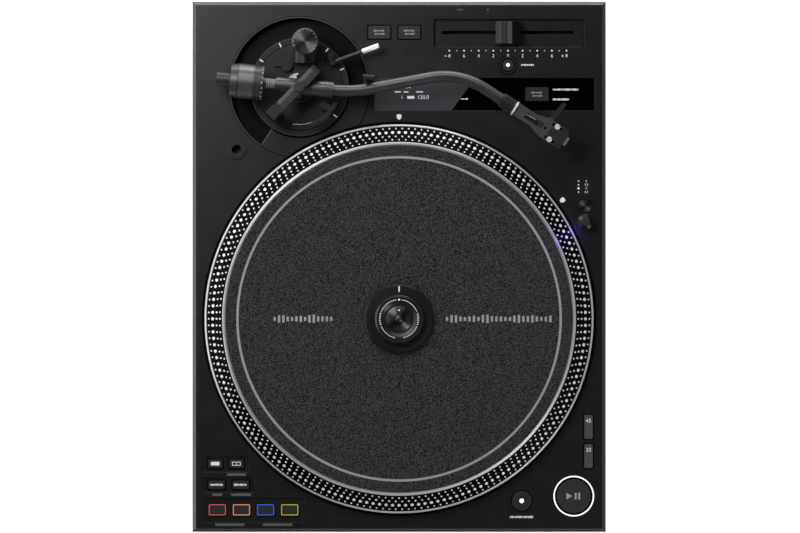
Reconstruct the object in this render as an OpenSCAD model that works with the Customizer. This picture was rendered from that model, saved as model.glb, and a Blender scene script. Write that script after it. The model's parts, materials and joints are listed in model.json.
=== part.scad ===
// Direct-drive turntable with an S-shaped tonearm and performance controls.
// Millimetres, +Z up. The origin is at the centre of the footprint, on the surface the feet stand on.
// -Y is the front edge, the tonearm is at the rear left.

/* [Cabinet] */
// Width of the cabinet, left to right
body_w = 353; // [352:0.5:356]
// Depth of the cabinet, front to back
body_d = 453; // [452:0.5:458]
// Height of the deck's upper surface above the feet's soles
deck_z = 104; // [104:0.5:106]
// Height of the joint between the cabinet and the lower case
split_z = 60; // [56:1:64]
// Height of the lower case's underside
floor_z = 20; // [18:1:22]
// Wall thickness of the cabinet and the lower case
wall = 4; // [3:0.5:5]
// Thickness of the deck plate
deck_t = 4; // [4:0.5:4.5]
// Chamfer round the deck's edge
edge_bevel = 3; // [2:0.5:4]
// How far the lower case stands in from the cabinet's sides
case_inset = 2; // [1:0.5:4]

/* [Platter] */
// Platter centre, measured forward from the middle of the deck
platter_y = -44.5; // [-46:0.5:-44.5]
// Outer radius of the platter
platter_r = 166; // [164:0.5:166]
// Radial gap between the platter and its well
well_gap = 2.5; // [2:0.5:2.5]
// Height of the slipmat's seat above the deck
mat_seat_h = 15; // [14:0.5:16]
// Radius of the slipmat
mat_r = 148; // [146:0.5:148]
// Thickness of the slipmat
mat_t = 1.5; // [1:0.1:1.5]
// Radius of the spindle
spindle_r = 3.6; // [3.5:0.05:3.6]
// Radius of the record clamp
clamp_r = 29.7; // [28:0.1:30]
// Radius of the clamp's knob
clamp_knob_r = 20.5; // [18:0.1:21]

/* [Tonearm] */
// Tonearm pivot, from the middle of the deck to the left
arm_x = -85.1; // [-85.5:0.1:-85]
// Tonearm pivot, from the middle of the deck to the rear
arm_y = 153.5; // [153.5:0.1:154]
// Height of the tonearm's axis above the deck
arm_h = 35.5; // [35.5:0.1:36.5]
// Direction of the arm at rest, in degrees from +X
rest_angle = -5.5; // [-6:0.1:-5]
// Outer radius of the S-shaped tube
tube_r = 4.95; // [4.5:0.05:5]
// Radius of the counterweight
weight_r = 14.8; // [14:0.1:15]
// Length of the counterweight
weight_l = 28; // [26:0.5:28]
// Radius of the round arm base
base_r = 36.7; // [36.5:0.1:36.7]
// Outer radius of the height ring
ring_r = 42.3; // [42:0.1:42.4]
// Outer radius of the dish round the arm base
dish_r = 59; // [58:0.5:59]

/* [Pitch fader and buttons] */
// Middle of the fader, from the middle of the deck to the right
fader_x = 93; // [92:0.5:94]
// Middle of the fader, from the middle of the deck to the rear
fader_y = 200; // [199:0.5:201]
// Travel of the fader to each side
fader_travel = 50; // [45:1:50]
// How far a button is pressed
press = 1; // [0.6:0.1:1]
// Gap round a button in its hole
button_gap = 0.3; // [0.3:0.05:0.5]

/* [Feet] */
// Radius of a foot
foot_r = 29; // [26:0.5:30]
// Distance of a foot's centre from the cabinet's sides
foot_inset = 37; // [36:0.5:40]

/* [Hidden] */
$fn = 64;
eps = 0.01;

// Heights
under_deck_z = deck_z - deck_t;
pan_z = deck_z - 20;
pan_t = 4;
pan_top_z = pan_z + pan_t;
seat_z = deck_z + mat_seat_h;
rim_z = seat_z + 2;
mat_top_z = seat_z + mat_t;
arm_z = deck_z + arm_h;
board_z = under_deck_z - 9.6;
board_t = 1.6;
board_top_z = board_z + board_t;

// Cabinet
well_r = platter_r + well_gap;
well_wall = 3.5;
case_w = body_w - 2 * case_inset;
case_d = body_d - 2 * case_inset;
boss_r = 7.5;
boss_inset = 11;
screw_r = 2;
SCREWS = [for (sx = [-1, 1]) for (sy = [-1, 0, 1]) [sx * (body_w / 2 - boss_inset), sy * (body_d / 2 - boss_inset)]];
FOOT_X = body_w / 2 - foot_inset;
FOOT_Y = body_d / 2 - foot_inset;
foot_stud_r = 4;
foot_top_z = floor_z - 0.4;

// Platter, from the centre out
hub_r = 16;
plate_under_z = seat_z - 8;
dot_in_r = 151;
dot_out_r = 164;
dot_low_z = deck_z + 8;
skirt_z = deck_z - 5;
skirt_in_r = platter_r - 8;
bearing_r = 12;
bearing_gap = 0.05;
stator_r = 38;
magnet_in_r = 41;
magnet_out_r = 50;
spindle_top_z = mat_top_z + 17;

// Clamp
clamp_z = mat_top_z + 0.3;
clamp_base_h = 5;
clamp_boss_r = 9;
clamp_knob_z = clamp_z + clamp_base_h + 0.3;
clamp_knob_h = 8.5;

// Tonearm base
ring_in_r = base_r + 0.3;
ring_gap = 0.4;
arm_pit_r = ring_r + 1.2;
dish_from = -6;
dish_to = 237;
ring_low_z = pan_top_z + 0.5;
ring_top_z = deck_z + 4;
base_low_z = pan_top_z + 0.5;
base_top_z = deck_z + 5;
yoke_angle = 46;
yoke_w = 8.8;
yoke_t = 4;
yoke_long = 31;
yoke_short = 17.5;
gimbal_out_r = 9.9;
gimbal_in_r = 8;
gimbal_l = 6;
pivot_r = 1.2;
pivot_bore_r = pivot_r + 0.05;
yoke_low_z = arm_z + gimbal_out_r + 0.4;
housing_r = 6.7;
skate_x = 5;
skate_y = 38.5;
skate_dial_r = 11.3;
skate_lobe_r = 10.2;
skate_dial_z = arm_z + 7.8;
skate_top_z = deck_z + 55;
lock_x = -10.7;
lock_y = 18.3;
lock_r = 5;

// Tonearm, along the arm from its pivot
rear_tube_l = 20;
rear_shaft_r = 5;
rear_shaft_end = 62;
bush_in_r = rear_shaft_r + 0.05;
bush_r = 8.5;
weight_near = 31;
dial_l = 7;
stub_r = 6.1;
stub_end = 71;
front_end = 21;
tube_start = 29;
bend_1_at = 31.1;
bend_1_r = 107;
bend_1 = 16;
middle_l = 51.5;
bend_2_r = 64;
bend_2 = 43.5;
end_l = 17;
tube_wall = 0.9;
BEND_1_END = [bend_1_at + bend_1_r * sin(bend_1), bend_1_r * (1 - cos(bend_1))];
BEND_2_AT = BEND_1_END + middle_l * [cos(bend_1), sin(bend_1)];
shell_angle = bend_1 - bend_2;
BEND_2_END = BEND_2_AT + bend_2_r * [sin(bend_1) - sin(shell_angle), cos(shell_angle) - cos(bend_1)];
TUBE_END = BEND_2_END + end_l * [cos(shell_angle), sin(shell_angle)];
nut_l = 13;
nut_r = 6.4;
plug_r = 3.9;
plug_in = 3;
shell_from = nut_l + 2;
shell_l = 50;
shell_w = 18;
shell_neck_w = 11.5;
shell_t = 2.6;
shell_top = 4.2;
shell_under = shell_top - shell_t;
screw_gap = 12.7;
screw_at = shell_from + 38;
cartridge_top = shell_under;
stylus_drop = 16.7;
tip_at = shell_from + 47;

// Cueing
cue_x = 27.9;
cue_y = 21.9;
cue_z = deck_z + 14;
cue_angle = 20;
cue_pin_r = 2;
lift_x = 21.1;
lift_y = -15.4;
lift_r = 3.2;
lift_arc_r = 33.5;
lift_arc_w = 3;
lift_travel = 5;
lift_top_z = arm_z - tube_r - lift_travel - 0.4;

// Arm rest, on the tube's centre line
rest_at = 58;
rest_y = bend_1_r * (1 - cos(asin((rest_at - bend_1_at) / bend_1_r)));
clip_pin_r = 1.5;
clip_y = rest_y + tube_r + 5;
clip_l = 12.8;
clip_z = tube_r + 2.3;

// Controls on the deck: [x, y, width, depth]
BUTTON_SHIFT = [-157, -168.2, 12, 7];
BUTTON_GRID = [-138.9, -168.2, 12, 7];
BUTTON_CUE = [-155.7, -186.2, 14, 7];
BUTTON_SAMPLE = [-135.2, -186.2, 14, 7];
pad_w = 14.7;
pad_d = 9.6;
pad_pitch = 20.6;
pad_y = -207.6;
function pad_at(i) = [-155.2 + pad_pitch * i, pad_y, pad_w, pad_d];
BUTTON_33 = [161.8, -161.7, 7.2, 20.3];
BUTTON_45 = [161.8, -136.8, 7.2, 20.3];
BUTTON_STEP = [-16.9, 200.2, 18.7, 11];
BUTTON_RANGE = [8.8, 200.2, 18.7, 11];
BUTTON_NEEDLE = [117.8, 147.3, 19.6, 11.5];
RECT_BUTTONS = [BUTTON_SHIFT, BUTTON_GRID, BUTTON_CUE, BUTTON_SAMPLE, pad_at(0), pad_at(1), pad_at(2),
                pad_at(3), BUTTON_33, BUTTON_45, BUTTON_STEP, BUTTON_RANGE, BUTTON_NEEDLE];
// Round controls: [x, y, radius]
BUTTON_START = [149.2, -195.9, 14.5];
BUTTON_MOTOR = [104.7, -199.9, 8.5];
BUTTON_RESET = [93, 172.3, 7.2];
ROUND_BUTTONS = [BUTTON_START, BUTTON_MOTOR, BUTTON_RESET];
// Shallow pockets round groups of buttons: [x, y, width, depth]
POCKET_UPPER = [-148.1, -168.4, 39.8, 14.1];
POCKET_LOWER = [-145.7, -186.4, 44.6, 13.2];
POCKET_PADS = [-123.5, -208, 86.2, 20.8];
POCKET_FADER = [93.6, 199.7, 126.8, 22.2];
POCKETS = [POCKET_UPPER, POCKET_LOWER, POCKET_PADS];
pocket_t = 1.2;
fader_pocket_t = 2;
low_top_z = deck_z - pocket_t + 1.4;
WINDOW = [72.65, 147.3, 187.5, 27.8];
window_t = 1.6;
start_ring_w = 2.8;
slot_w = 3;
slot_l = 2 * fader_travel + 13;
LAMP = [158.9, 51.8, 5.5];
DIAL = [159.3, 38.6, 6.6];
strobe_r = 3.6;
SOCKET = [-138.7, 100, 7.8];
socket_bore_r = 4.1;
socket_bore_l = 14;

// Rear bay with the sockets
bay_x = -92;
bay_w = 116;
bay_in_y = 196;
bay_low_z = floor_z + 5;
bay_top_z = split_z - 4;
bay_mid_z = (bay_low_z + bay_top_z) / 2;
JACK_X = [-142, -126, -110, -94];
earth_x = -80;
inlet_x = -60;
jack_r = 4.15;
usb_x = 52;

// ---------- shapes used more than once ----------

// A flat rectangle with round corners, centred
module round_rect(w, d, r) {
    square([w - 2 * r, d], center = true);
    square([w, d - 2 * r], center = true);
    for (sx = [-1, 1]) for (sy = [-1, 1]) translate([sx * (w / 2 - r), sy * (d / 2 - r)]) circle(r);
}

// An upright plate with round corners, from z0 to z1
module plate(place, z0, z1, r, grow = 0) {
    translate([place[0], place[1], z0]) linear_extrude(z1 - z0)
        round_rect(place[2] + 2 * grow, place[3] + 2 * grow, r + grow);
}

// An upright tube or disc from z0 to z1
module ring(r_out, r_in, z0, z1) {
    translate([0, 0, z0]) difference() {
        cylinder(r = r_out, h = z1 - z0);
        if (r_in > 0) translate([0, 0, -1]) cylinder(r = r_in, h = z1 - z0 + 2);
    }
}

// A pie slice, for cutting part of a ring
module sector(r, from, to, z0, z1) {
    translate([0, 0, z0]) rotate(from) rotate_extrude(angle = to - from, $fn = 96)
        square([r, z1 - z0]);
}

module at_platter() { translate([0, platter_y, 0]) children(); }
module at_base() { translate([arm_x, arm_y, 0]) children(); }
module at_arm() { translate([arm_x, arm_y, arm_z]) rotate(rest_angle) children(); }
module at_shell() { at_arm() translate(TUBE_END) rotate(shell_angle) children(); }
// A cylinder along the arm
module along(r, from, to) { translate([from, 0, 0]) rotate([0, 90, 0]) cylinder(r = r, h = to - from); }

// A rectangular button: its cap, the flange that keeps it in and the stem on its switch
module rect_button(place, top_z, tint) {
    color(tint) {
        plate(place, under_deck_z - 0.4, top_z, 0.8);
        plate(place, under_deck_z - 1.8, under_deck_z - 0.4, 0.8, 1.2);
        translate([place[0], place[1], under_deck_z - 3.6]) cylinder(r = 1.5, h = 1.8);
    }
}

module round_button(place, top_z, tint) {
    color(tint) translate([place[0], place[1], 0]) {
        ring(place[2], 0, under_deck_z - 0.4, top_z);
        ring(place[2] + 1.2, 0, under_deck_z - 1.8, under_deck_z - 0.4);
        ring(1.5, 0, under_deck_z - 3.6, under_deck_z - 1.8);
    }
}

// ---------- cabinet ----------

module cabinet_block() {
    hull() {
        translate([0, 0, split_z]) linear_extrude(eps) square([body_w, body_d], center = true);
        translate([0, 0, deck_z - edge_bevel]) linear_extrude(eps) square([body_w, body_d], center = true);
        translate([0, 0, deck_z - eps]) linear_extrude(eps)
            square([body_w - 2 * edge_bevel, body_d - 2 * edge_bevel], center = true);
    }
}

module deck_holes() {
    for (b = RECT_BUTTONS) plate(b, under_deck_z - 5, deck_z + 1, 0.8, button_gap);
    for (b = ROUND_BUTTONS) translate([b[0], b[1], 0]) ring(b[2] + button_gap, 0, under_deck_z - 5, deck_z + 1);
    for (p = POCKETS) plate(p, deck_z - pocket_t, deck_z + 1, 1);
    plate(POCKET_FADER, deck_z - fader_pocket_t, deck_z + 1, 1.5);
    plate([fader_x, fader_y, slot_l, slot_w], under_deck_z - 5, deck_z, slot_w / 2 - eps);
    plate(WINDOW, deck_z - window_t, deck_z + 1, 1);
    plate([18, WINDOW[1], 64, 18], under_deck_z - 1, deck_z, 1);
    translate([LAMP[0], LAMP[1], 0]) ring(LAMP[2] + 0.3, 0, under_deck_z - 1, deck_z + 1);
    translate([DIAL[0], DIAL[1], 0]) ring(DIAL[2] - 1.2, 0, under_deck_z - 1, deck_z + 1);
    translate([SOCKET[0], SOCKET[1], 0]) ring(SOCKET[2] - 1.6, 0, under_deck_z - 1, deck_z + 1);
}

module cabinet() {
    color("#232325") difference() {
        union() {
            difference() {
                cabinet_block();
                translate([0, 0, split_z - 1]) linear_extrude(under_deck_z - split_z + 1)
                    square([body_w - 2 * wall, body_d - 2 * wall], center = true);
            }
            at_platter() ring(well_r + well_wall, 0, pan_z, under_deck_z + 1);
            at_base() ring(dish_r + well_wall, 0, pan_z, under_deck_z + 1);
            for (s = SCREWS) translate([s[0], s[1], 0]) ring(boss_r, 0, split_z, pan_z + 1);
        }
        at_platter() ring(well_r, 0, pan_top_z, deck_z + 1);
        at_platter() ring(bearing_r, 0, pan_z - 1, pan_top_z + 1);
        at_base() ring(arm_pit_r, 0, pan_top_z, deck_z + 1);
        at_base() difference() {
            sector(dish_r, dish_from, dish_to, pan_top_z, deck_z + 1);
            ring(arm_pit_r - 1, 0, pan_top_z - 1, deck_z + 2);
        }
        deck_holes();
        for (s = SCREWS) translate([s[0], s[1], 0]) ring(screw_r, 0, split_z - 1, split_z + 20);
    }
}

module lower_case() {
    bay_h = bay_top_z - bay_low_z;
    color("#161617") difference() {
        union() {
            difference() {
                translate([0, 0, floor_z]) linear_extrude(split_z - floor_z) round_rect(case_w, case_d, 6);
                translate([0, 0, floor_z + wall]) linear_extrude(split_z)
                    round_rect(case_w - 2 * wall, case_d - 2 * wall, 3);
            }
            translate([bay_x, (bay_in_y + case_d / 2) / 2 - 2, bay_mid_z])
                cube([bay_w + 2 * wall, case_d / 2 - bay_in_y + 4, bay_h + 2 * wall - 2], center = true);
            for (s = SCREWS) translate([s[0], s[1], 0]) ring(boss_r, 0, floor_z, split_z);
            for (sx = [-1, 1]) for (sy = [-1, 1]) translate([sx * FOOT_X, sy * FOOT_Y, 0])
                ring(foot_stud_r + 4, 0, floor_z, floor_z + 16);
        }
        translate([bay_x, bay_in_y + 20, bay_mid_z]) cube([bay_w, 40, bay_h], center = true);
        for (s = SCREWS) translate([s[0], s[1], 0]) {
            ring(screw_r + 0.2, 0, floor_z - 1, split_z + 1);
            ring(4.2, 0, floor_z - 1, floor_z + 6);
        }
        for (sx = [-1, 1]) for (sy = [-1, 1]) translate([sx * FOOT_X, sy * FOOT_Y, 0])
            ring(foot_stud_r + 0.08, 0, floor_z - 1, floor_z + 14);
        for (x = JACK_X) translate([x, bay_in_y - 10, bay_mid_z]) rotate([-90, 0, 0]) cylinder(r = 3.2, h = 12);
        translate([inlet_x, bay_in_y - 5, bay_mid_z]) cube([20.4, 20, 14.4], center = true);
        translate([earth_x, bay_in_y - 10, bay_mid_z]) rotate([-90, 0, 0]) cylinder(r = 2, h = 12);
        for (i = [0, 1]) translate([usb_x + 24 * i, case_d / 2 - 5, 44]) cube([12.4, 20, 11.4], center = true);
    }
}

module case_screws() {
    color("#707072") for (s = SCREWS) translate([s[0], s[1], 0]) difference() {
        union() {
            ring(screw_r, 0, floor_z + 6, split_z + 18);
            ring(4, 0, floor_z + 3.4, floor_z + 6);
        }
        ring(1.6, 0, floor_z + 3, floor_z + 4.6);
    }
}

// Four line sockets, an earth post, a mains inlet and two data ports
module rear_sockets() {
    color("#b9b9bd") {
        for (x = JACK_X) translate([x, 0, bay_mid_z]) rotate([-90, 0, 0]) difference() {
            union() {
                translate([0, 0, bay_in_y - 8]) cylinder(r = 3.2, h = 9);
                translate([0, 0, bay_in_y]) cylinder(r = 5.6, h = 1.4);
                translate([0, 0, bay_in_y]) cylinder(r = jack_r, h = 11);
            }
            translate([0, 0, bay_in_y + 1]) cylinder(r = 1.6, h = 12);
        }
        translate([earth_x, bay_in_y - 8, bay_mid_z]) rotate([-90, 0, 0]) {
            cylinder(r = 2, h = 18);
            translate([0, 0, 10]) cylinder(r = 4.5, h = 6);
        }
    }
    color("#1a1a1a") {
        translate([inlet_x, bay_in_y - 5, bay_mid_z]) difference() {
            cube([20, 20, 14], center = true);
            translate([0, 4, 0]) cube([14, 20, 9], center = true);
        }
        for (i = [0, 1]) translate([usb_x + 24 * i, case_d / 2 - 8, 44]) difference() {
            cube([12, 16, 11], center = true);
            translate([0, 3, 0]) cube([8, 16, 5], center = true);
        }
    }
}

// ---------- inside the cabinet ----------

module board(x, y, w, d) { translate([x - w / 2, y - d / 2, board_z]) cube([w, d, board_t]); }

module circuit_boards() {
    switch_top_z = under_deck_z - 3.6 - press - 0.2;
    color("#1f5b3a") {
        board(-151, -182.5, 40, 45);
        board(-117.5, -209, 81, 18);
        board(163, -149, 16, 50);
        board(134, -195, 48, 34);
        board(103, -203, 16, 20);
        board(-4, 200, 56, 24);
        board(117.8, 152, 90, 26);
        board(93, 172, 24, 14.5);
        translate([-20, -150, floor_z + wall + 4]) cube([180, 60, board_t]);
        translate([-120, 60, floor_z + wall + 4]) cube([110, 90, board_t]);
    }
    color("#2b2b2b") {
        for (b = concat(RECT_BUTTONS, ROUND_BUTTONS))
            translate([b[0] - 3, b[1] - 3, board_top_z]) cube([6, 6, switch_top_z - board_top_z]);
        translate([30, -130, floor_z + wall + 4 + board_t]) cube([34, 34, 4]);
        translate([-10, -138, floor_z + wall + 4 + board_t]) cube([22, 28, 16]);
        translate([-100, 70, floor_z + wall + 4 + board_t]) cube([46, 40, 24]);
        translate([-40, 110, floor_z + wall + 4 + board_t]) cylinder(r = 9, h = 22);
        translate([-40, 84, floor_z + wall + 4 + board_t]) cylinder(r = 9, h = 22);
    }
    // The fader's slide unit, hollow under its slot
    color("#8a8a8e") difference() {
        plate([fader_x, fader_y, slot_l + 12, 12], under_deck_z - 13, under_deck_z, 1);
        plate([fader_x, fader_y, slot_l + 4, 7], under_deck_z - 11.5, under_deck_z - 1.5, 1);
        plate([fader_x, fader_y, slot_l, slot_w], under_deck_z - 2, under_deck_z + 1, slot_w / 2 - eps);
    }
    // The screen under the window
    color("#30303a") plate([18, WINDOW[1], 63, 17], under_deck_z - 2, deck_z - window_t - 0.2, 0.5);
}

module motor_stator() {
    coils = 9;
    core_r = stator_r - 16;
    color("#8c5a2e") at_platter() {
        ring(core_r, bearing_r + 2.6, pan_top_z, pan_top_z + 5);
        for (i = [0 : coils - 1]) rotate(i * 360 / coils) translate([core_r - 2, -3.5, pan_top_z + 0.5])
            cube([18, 7, 4]);
    }
}

module spindle_bearing() {
    color("#a98d4f") at_platter() difference() {
        union() {
            ring(bearing_r, 0, pan_z - 22, pan_top_z);
            ring(bearing_r + 2.4, 0, pan_top_z, pan_top_z + 5);
        }
        ring(spindle_r + bearing_gap, 0, pan_z - 18, pan_top_z + 6);
    }
}

module display_window() {
    color("#0b0b0d") difference() {
        plate(WINDOW, deck_z - window_t, deck_z - 0.05, 0.8, -0.1);
        plate(BUTTON_NEEDLE, deck_z - 3, deck_z + 1, 0.8, button_gap);
    }
}

module strobe_lamp() {
    color("#2a2a2d") translate([DIAL[0], DIAL[1], 0]) difference() {
        union() {
            ring(strobe_r, 0, under_deck_z - 6, deck_z + 15);
            ring(DIAL[2] - 1.2, 0, under_deck_z - 4, deck_z);
            ring(DIAL[2] + 1, 0, under_deck_z - 6, under_deck_z - 3);
        }
        translate([-strobe_r - 1, -1.6, deck_z + 9]) cube([3.4, 3.2, 3.6]);
    }
}

module headshell_socket() {
    color("#3a3a3d") translate([SOCKET[0], SOCKET[1], 0]) difference() {
        union() {
            ring(SOCKET[2], 0, deck_z, deck_z + 1.6);
            ring(SOCKET[2] - 1.6, 0, deck_z - 16, deck_z + 0.2);
        }
        ring(socket_bore_r, 0, deck_z + 1.6 - socket_bore_l, deck_z + 3);
    }
}

// ---------- feet ----------

// A foot: a cup on a threaded stud, with a rubber sole
module foot(sx, sy) {
    color("#1b1b1c") translate([sx * FOOT_X, sy * FOOT_Y, 0]) {
        rotate_extrude($fn = 96) polygon([[0, 0], [foot_r - 5, 0], [foot_r - 3, 2], [foot_r, 6],
            [foot_r, foot_top_z - 2], [foot_r - 2, foot_top_z], [0, foot_top_z]]);
        ring(foot_stud_r, 0, foot_top_z - 1, floor_z + 13);
    }
}

module foot_front_left() { foot(-1, -1); }
module foot_front_right() { foot(1, -1); }
module foot_rear_left() { foot(-1, 1); }
module foot_rear_right() { foot(1, 1); }

// ---------- platter and clamp ----------

module platter() {
    color("#8f8f93") at_platter() rotate_extrude($fn = 180) polygon([
        [spindle_r, skirt_z], [hub_r, skirt_z], [hub_r + 2, plate_under_z], [magnet_in_r, plate_under_z],
        [magnet_out_r, plate_under_z], [dot_in_r - 8, plate_under_z], [skirt_in_r, dot_low_z - 5],
        [skirt_in_r, skirt_z], [platter_r - 1, skirt_z], [platter_r, skirt_z + 1],
        [platter_r, dot_low_z - 1], [platter_r - 1, dot_low_z], [dot_out_r, dot_low_z],
        [dot_in_r, rim_z - 0.4], [dot_in_r - 0.5, rim_z], [mat_r + 1, rim_z], [mat_r + 0.5, seat_z],
        [spindle_r, seat_z]]);
}

module slipmat() { color("#303032") at_platter() ring(mat_r, spindle_r + 0.2, seat_z, mat_top_z, $fn = 180); }

module spindle() {
    color("#c9c9cc") at_platter() rotate_extrude() polygon([
        [0, pan_z - 17], [spindle_r, pan_z - 16], [spindle_r, spindle_top_z - 2],
        [spindle_r - 1, spindle_top_z - 0.6], [0, spindle_top_z]]);
}

module rotor_magnet() {
    color("#3c3c40") at_platter() ring(magnet_out_r, magnet_in_r, pan_top_z + 1, plate_under_z);
}

module clamp_base() {
    color("#161617") at_platter() difference() {
        rotate_extrude($fn = 96) polygon([
            [0, clamp_z], [clamp_r - 1, clamp_z], [clamp_r, clamp_z + 1], [clamp_r, clamp_z + 3],
            [clamp_r - 1.5, clamp_z + clamp_base_h], [clamp_boss_r, clamp_z + clamp_base_h],
            [clamp_boss_r, clamp_knob_z + 5], [0, clamp_knob_z + 5]]);
        ring(spindle_r + bearing_gap, 0, clamp_z - 1, clamp_knob_z + 10);
    }
}

module clamp_knob() {
    top_z = clamp_knob_z + clamp_knob_h;
    color("#1f1f21") at_platter() rotate_extrude($fn = 96) polygon([
        [clamp_boss_r + 0.06, clamp_knob_z], [clamp_knob_r - 0.6, clamp_knob_z],
        [clamp_knob_r, clamp_knob_z + 0.6], [clamp_knob_r, top_z - 1.4], [clamp_knob_r - 1.4, top_z],
        [clamp_knob_r - 5, top_z], [clamp_knob_r - 8, top_z - 1.2], [spindle_r + 0.4, top_z - 1.2],
        [spindle_r + 0.4, clamp_knob_z + 5.3], [clamp_boss_r + 0.06, clamp_knob_z + 5.3]]);
}

// ---------- tonearm base ----------

module height_ring() {
    grips = 72;
    color("#2b2b2d") at_base() difference() {
        ring(ring_r, ring_in_r, ring_low_z, ring_top_z, $fn = 96);
        for (i = [0 : grips - 1]) rotate(i * 360 / grips)
            translate([ring_r, 0, (ring_low_z + ring_top_z) / 2 + 4]) cube([1, 1.4, 14], center = true);
    }
}

// The round base, with the lug of the cue lever and the bush of the arm lifter
module arm_base() {
    color("#202022") at_base() difference() {
        union() {
            ring(base_r, 0, base_low_z, base_top_z, $fn = 96);
            ring(13.5, 0, base_top_z - 1, base_top_z + 6);
            translate([lift_x, lift_y, 0]) ring(lift_r + 1.6, 0, base_top_z - 1, lift_top_z - 6);
            translate([cue_x, cue_y, 0]) rotate(cue_angle) translate([-4, 1.2, base_top_z - 1]) {
                cube([8, 4, cue_z - base_top_z + 1]);
                translate([4, 0, cue_z - base_top_z + 1]) rotate([-90, 0, 0]) cylinder(r = 4, h = 4);
            }
            ring(4, 0, base_top_z, arm_z - gimbal_out_r - 2.6);
            ring(pivot_r, 0, base_top_z, arm_z - gimbal_out_r + 1.2);
        }
        translate([lift_x, lift_y, 0]) ring(lift_r + 0.06, 0, base_low_z + 4, arm_z);
        translate([cue_x, cue_y, cue_z]) rotate(cue_angle) rotate([-90, 0, 0])
            cylinder(r = cue_pin_r + 0.05, h = 20);
        translate([lock_x, lock_y, 0]) ring(2.05, 0, base_top_z - 7, base_top_z + 1);
    }
}

module anti_skate_housing() {
    lobe_z = base_top_z + 6;
    color("#262628") at_base() difference() {
        union() {
            intersection() {
                translate([skate_x, 20.4, lobe_z]) rotate([-90, 0, 0])
                    cylinder(r = skate_lobe_r, h = skate_y - 20.4);
                translate([skate_x, 28, base_top_z + 20]) cube([40, 40, 40], center = true);
            }
            translate([skate_x, skate_y, 0]) {
                difference() {
                    ring(skate_lobe_r, 0, ring_top_z + 1.4, skate_dial_z - 0.3);
                    translate([-20, -40 - 0.2, 0]) cube([40, 26, base_top_z]);
                }
                ring(3, 0, skate_dial_z - 1, skate_top_z - 5);
            }
        }
        ring_clearance();
    }
}

// Room for the arm base and the height ring under the housing's overhang
module ring_clearance() {
    ring(base_r, 0, base_low_z - 1, base_top_z);
    ring(ring_r + 2, base_r, ring_low_z, ring_top_z + 1.2);
}

module anti_skate_dial() {
    color("#232325") at_base() translate([skate_x, skate_y, 0]) difference() {
        rotate_extrude() polygon([[0, skate_dial_z], [skate_dial_r, skate_dial_z],
            [skate_dial_r, skate_top_z - 1], [skate_dial_r - 1, skate_top_z], [0, skate_top_z]]);
        ring(3.05, 0, skate_dial_z - 1, skate_top_z - 4);
    }
}

module base_lock_knob() {
    color("#1c1c1d") at_base() translate([lock_x, lock_y, 0]) {
        ring(lock_r, 0, base_top_z + 0.3, base_top_z + 6);
        ring(2, 0, base_top_z - 6, base_top_z + 1);
        translate([-11, -0.9, base_top_z + 2]) cube([7, 1.8, 3]);
    }
}

// The fixed bridge over the arm, with the upper pivot screw
module gimbal_yoke() {
    color("#3b3b3e") at_base() {
        rotate(yoke_angle) {
            translate([-yoke_long - 4.4, -yoke_w / 2, yoke_low_z])
                cube([yoke_long + yoke_short + 8.8, yoke_w, yoke_t]);
            translate([-yoke_long - 4.4, -yoke_w / 2 - 1, base_top_z]) cube([9, yoke_w + 2, 24]);
            translate([-yoke_long - 4.4, -yoke_w / 2, base_top_z]) cube([8, yoke_w, yoke_low_z - base_top_z + 1]);
            translate([yoke_short - 3.6, -yoke_w / 2, base_top_z + 6]) cube([8, yoke_w, yoke_low_z - base_top_z - 5]);
            translate([14.2, -yoke_w / 2, base_top_z]) cube([7.7, yoke_w, 8]);
        }
        ring(4.4, 0, yoke_low_z + yoke_t - 1, yoke_low_z + yoke_t + 3);
        ring(pivot_r, 0, arm_z + gimbal_out_r - 1.4, yoke_low_z + 1);
    }
}

// The ring that turns with the arm and carries its horizontal pivots
module gimbal_ring() {
    color("#9a9a9e") at_arm() difference() {
        union() {
            along(gimbal_out_r, -gimbal_l / 2, gimbal_l / 2);
            for (s = [-1, 1]) rotate([90 * s, 0, 0]) translate([0, 0, gimbal_in_r - 2.4])
                cylinder(r = pivot_r, h = 3);
        }
        difference() {
            along(gimbal_in_r, -gimbal_l, gimbal_l);
            for (s = [-1, 1]) rotate([90 * s, 0, 0]) translate([0, 0, gimbal_in_r - 2.4])
                cylinder(r = pivot_r, h = 4);
        }
        for (s = [-1, 1]) translate([0, 0, s * (gimbal_out_r + 0.4)]) cylinder(r = pivot_bore_r, h = 4, center = true);
    }
}

module arm_housing() {
    color("#5a5a5e") at_arm() difference() {
        union() {
            along(housing_r, -rear_tube_l, front_end);
            along(housing_r + 0.5, front_end, tube_start);
            along(rear_shaft_r, -rear_shaft_end, -rear_tube_l);
        }
        for (s = [-1, 1]) rotate([90 * s, 0, 0]) translate([0, 0, gimbal_in_r - 2.6])
            cylinder(r = pivot_bore_r, h = 4);
        along(tube_r, tube_start - 8, tube_start + 1);
        for (i = [0 : 2]) difference() {
            along(housing_r + 2, front_end + 1.6 + 2.2 * i, front_end + 2.4 + 2.2 * i);
            along(housing_r, front_end, tube_start);
        }
    }
}

// One bend of the tube: centre, radius, start angle and sweep
module bend(centre, r, from, sweep) {
    translate(centre) rotate(from) rotate_extrude(angle = sweep, $fn = 180) translate([r, 0]) difference() {
        circle(tube_r, $fn = 48);
        circle(tube_r - tube_wall, $fn = 48);
    }
}

module pipe(from, to) {
    difference() {
        along(tube_r, from, to);
        along(tube_r - tube_wall, from - 1, to + 1);
    }
}

// A thin ring inside the tube's wall, where a straight meets a bend
module weld() {
    difference() {
        along(tube_r - 0.35, -0.6, 0.6);
        along(tube_r - tube_wall - 0.15, -1, 1);
    }
}

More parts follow.
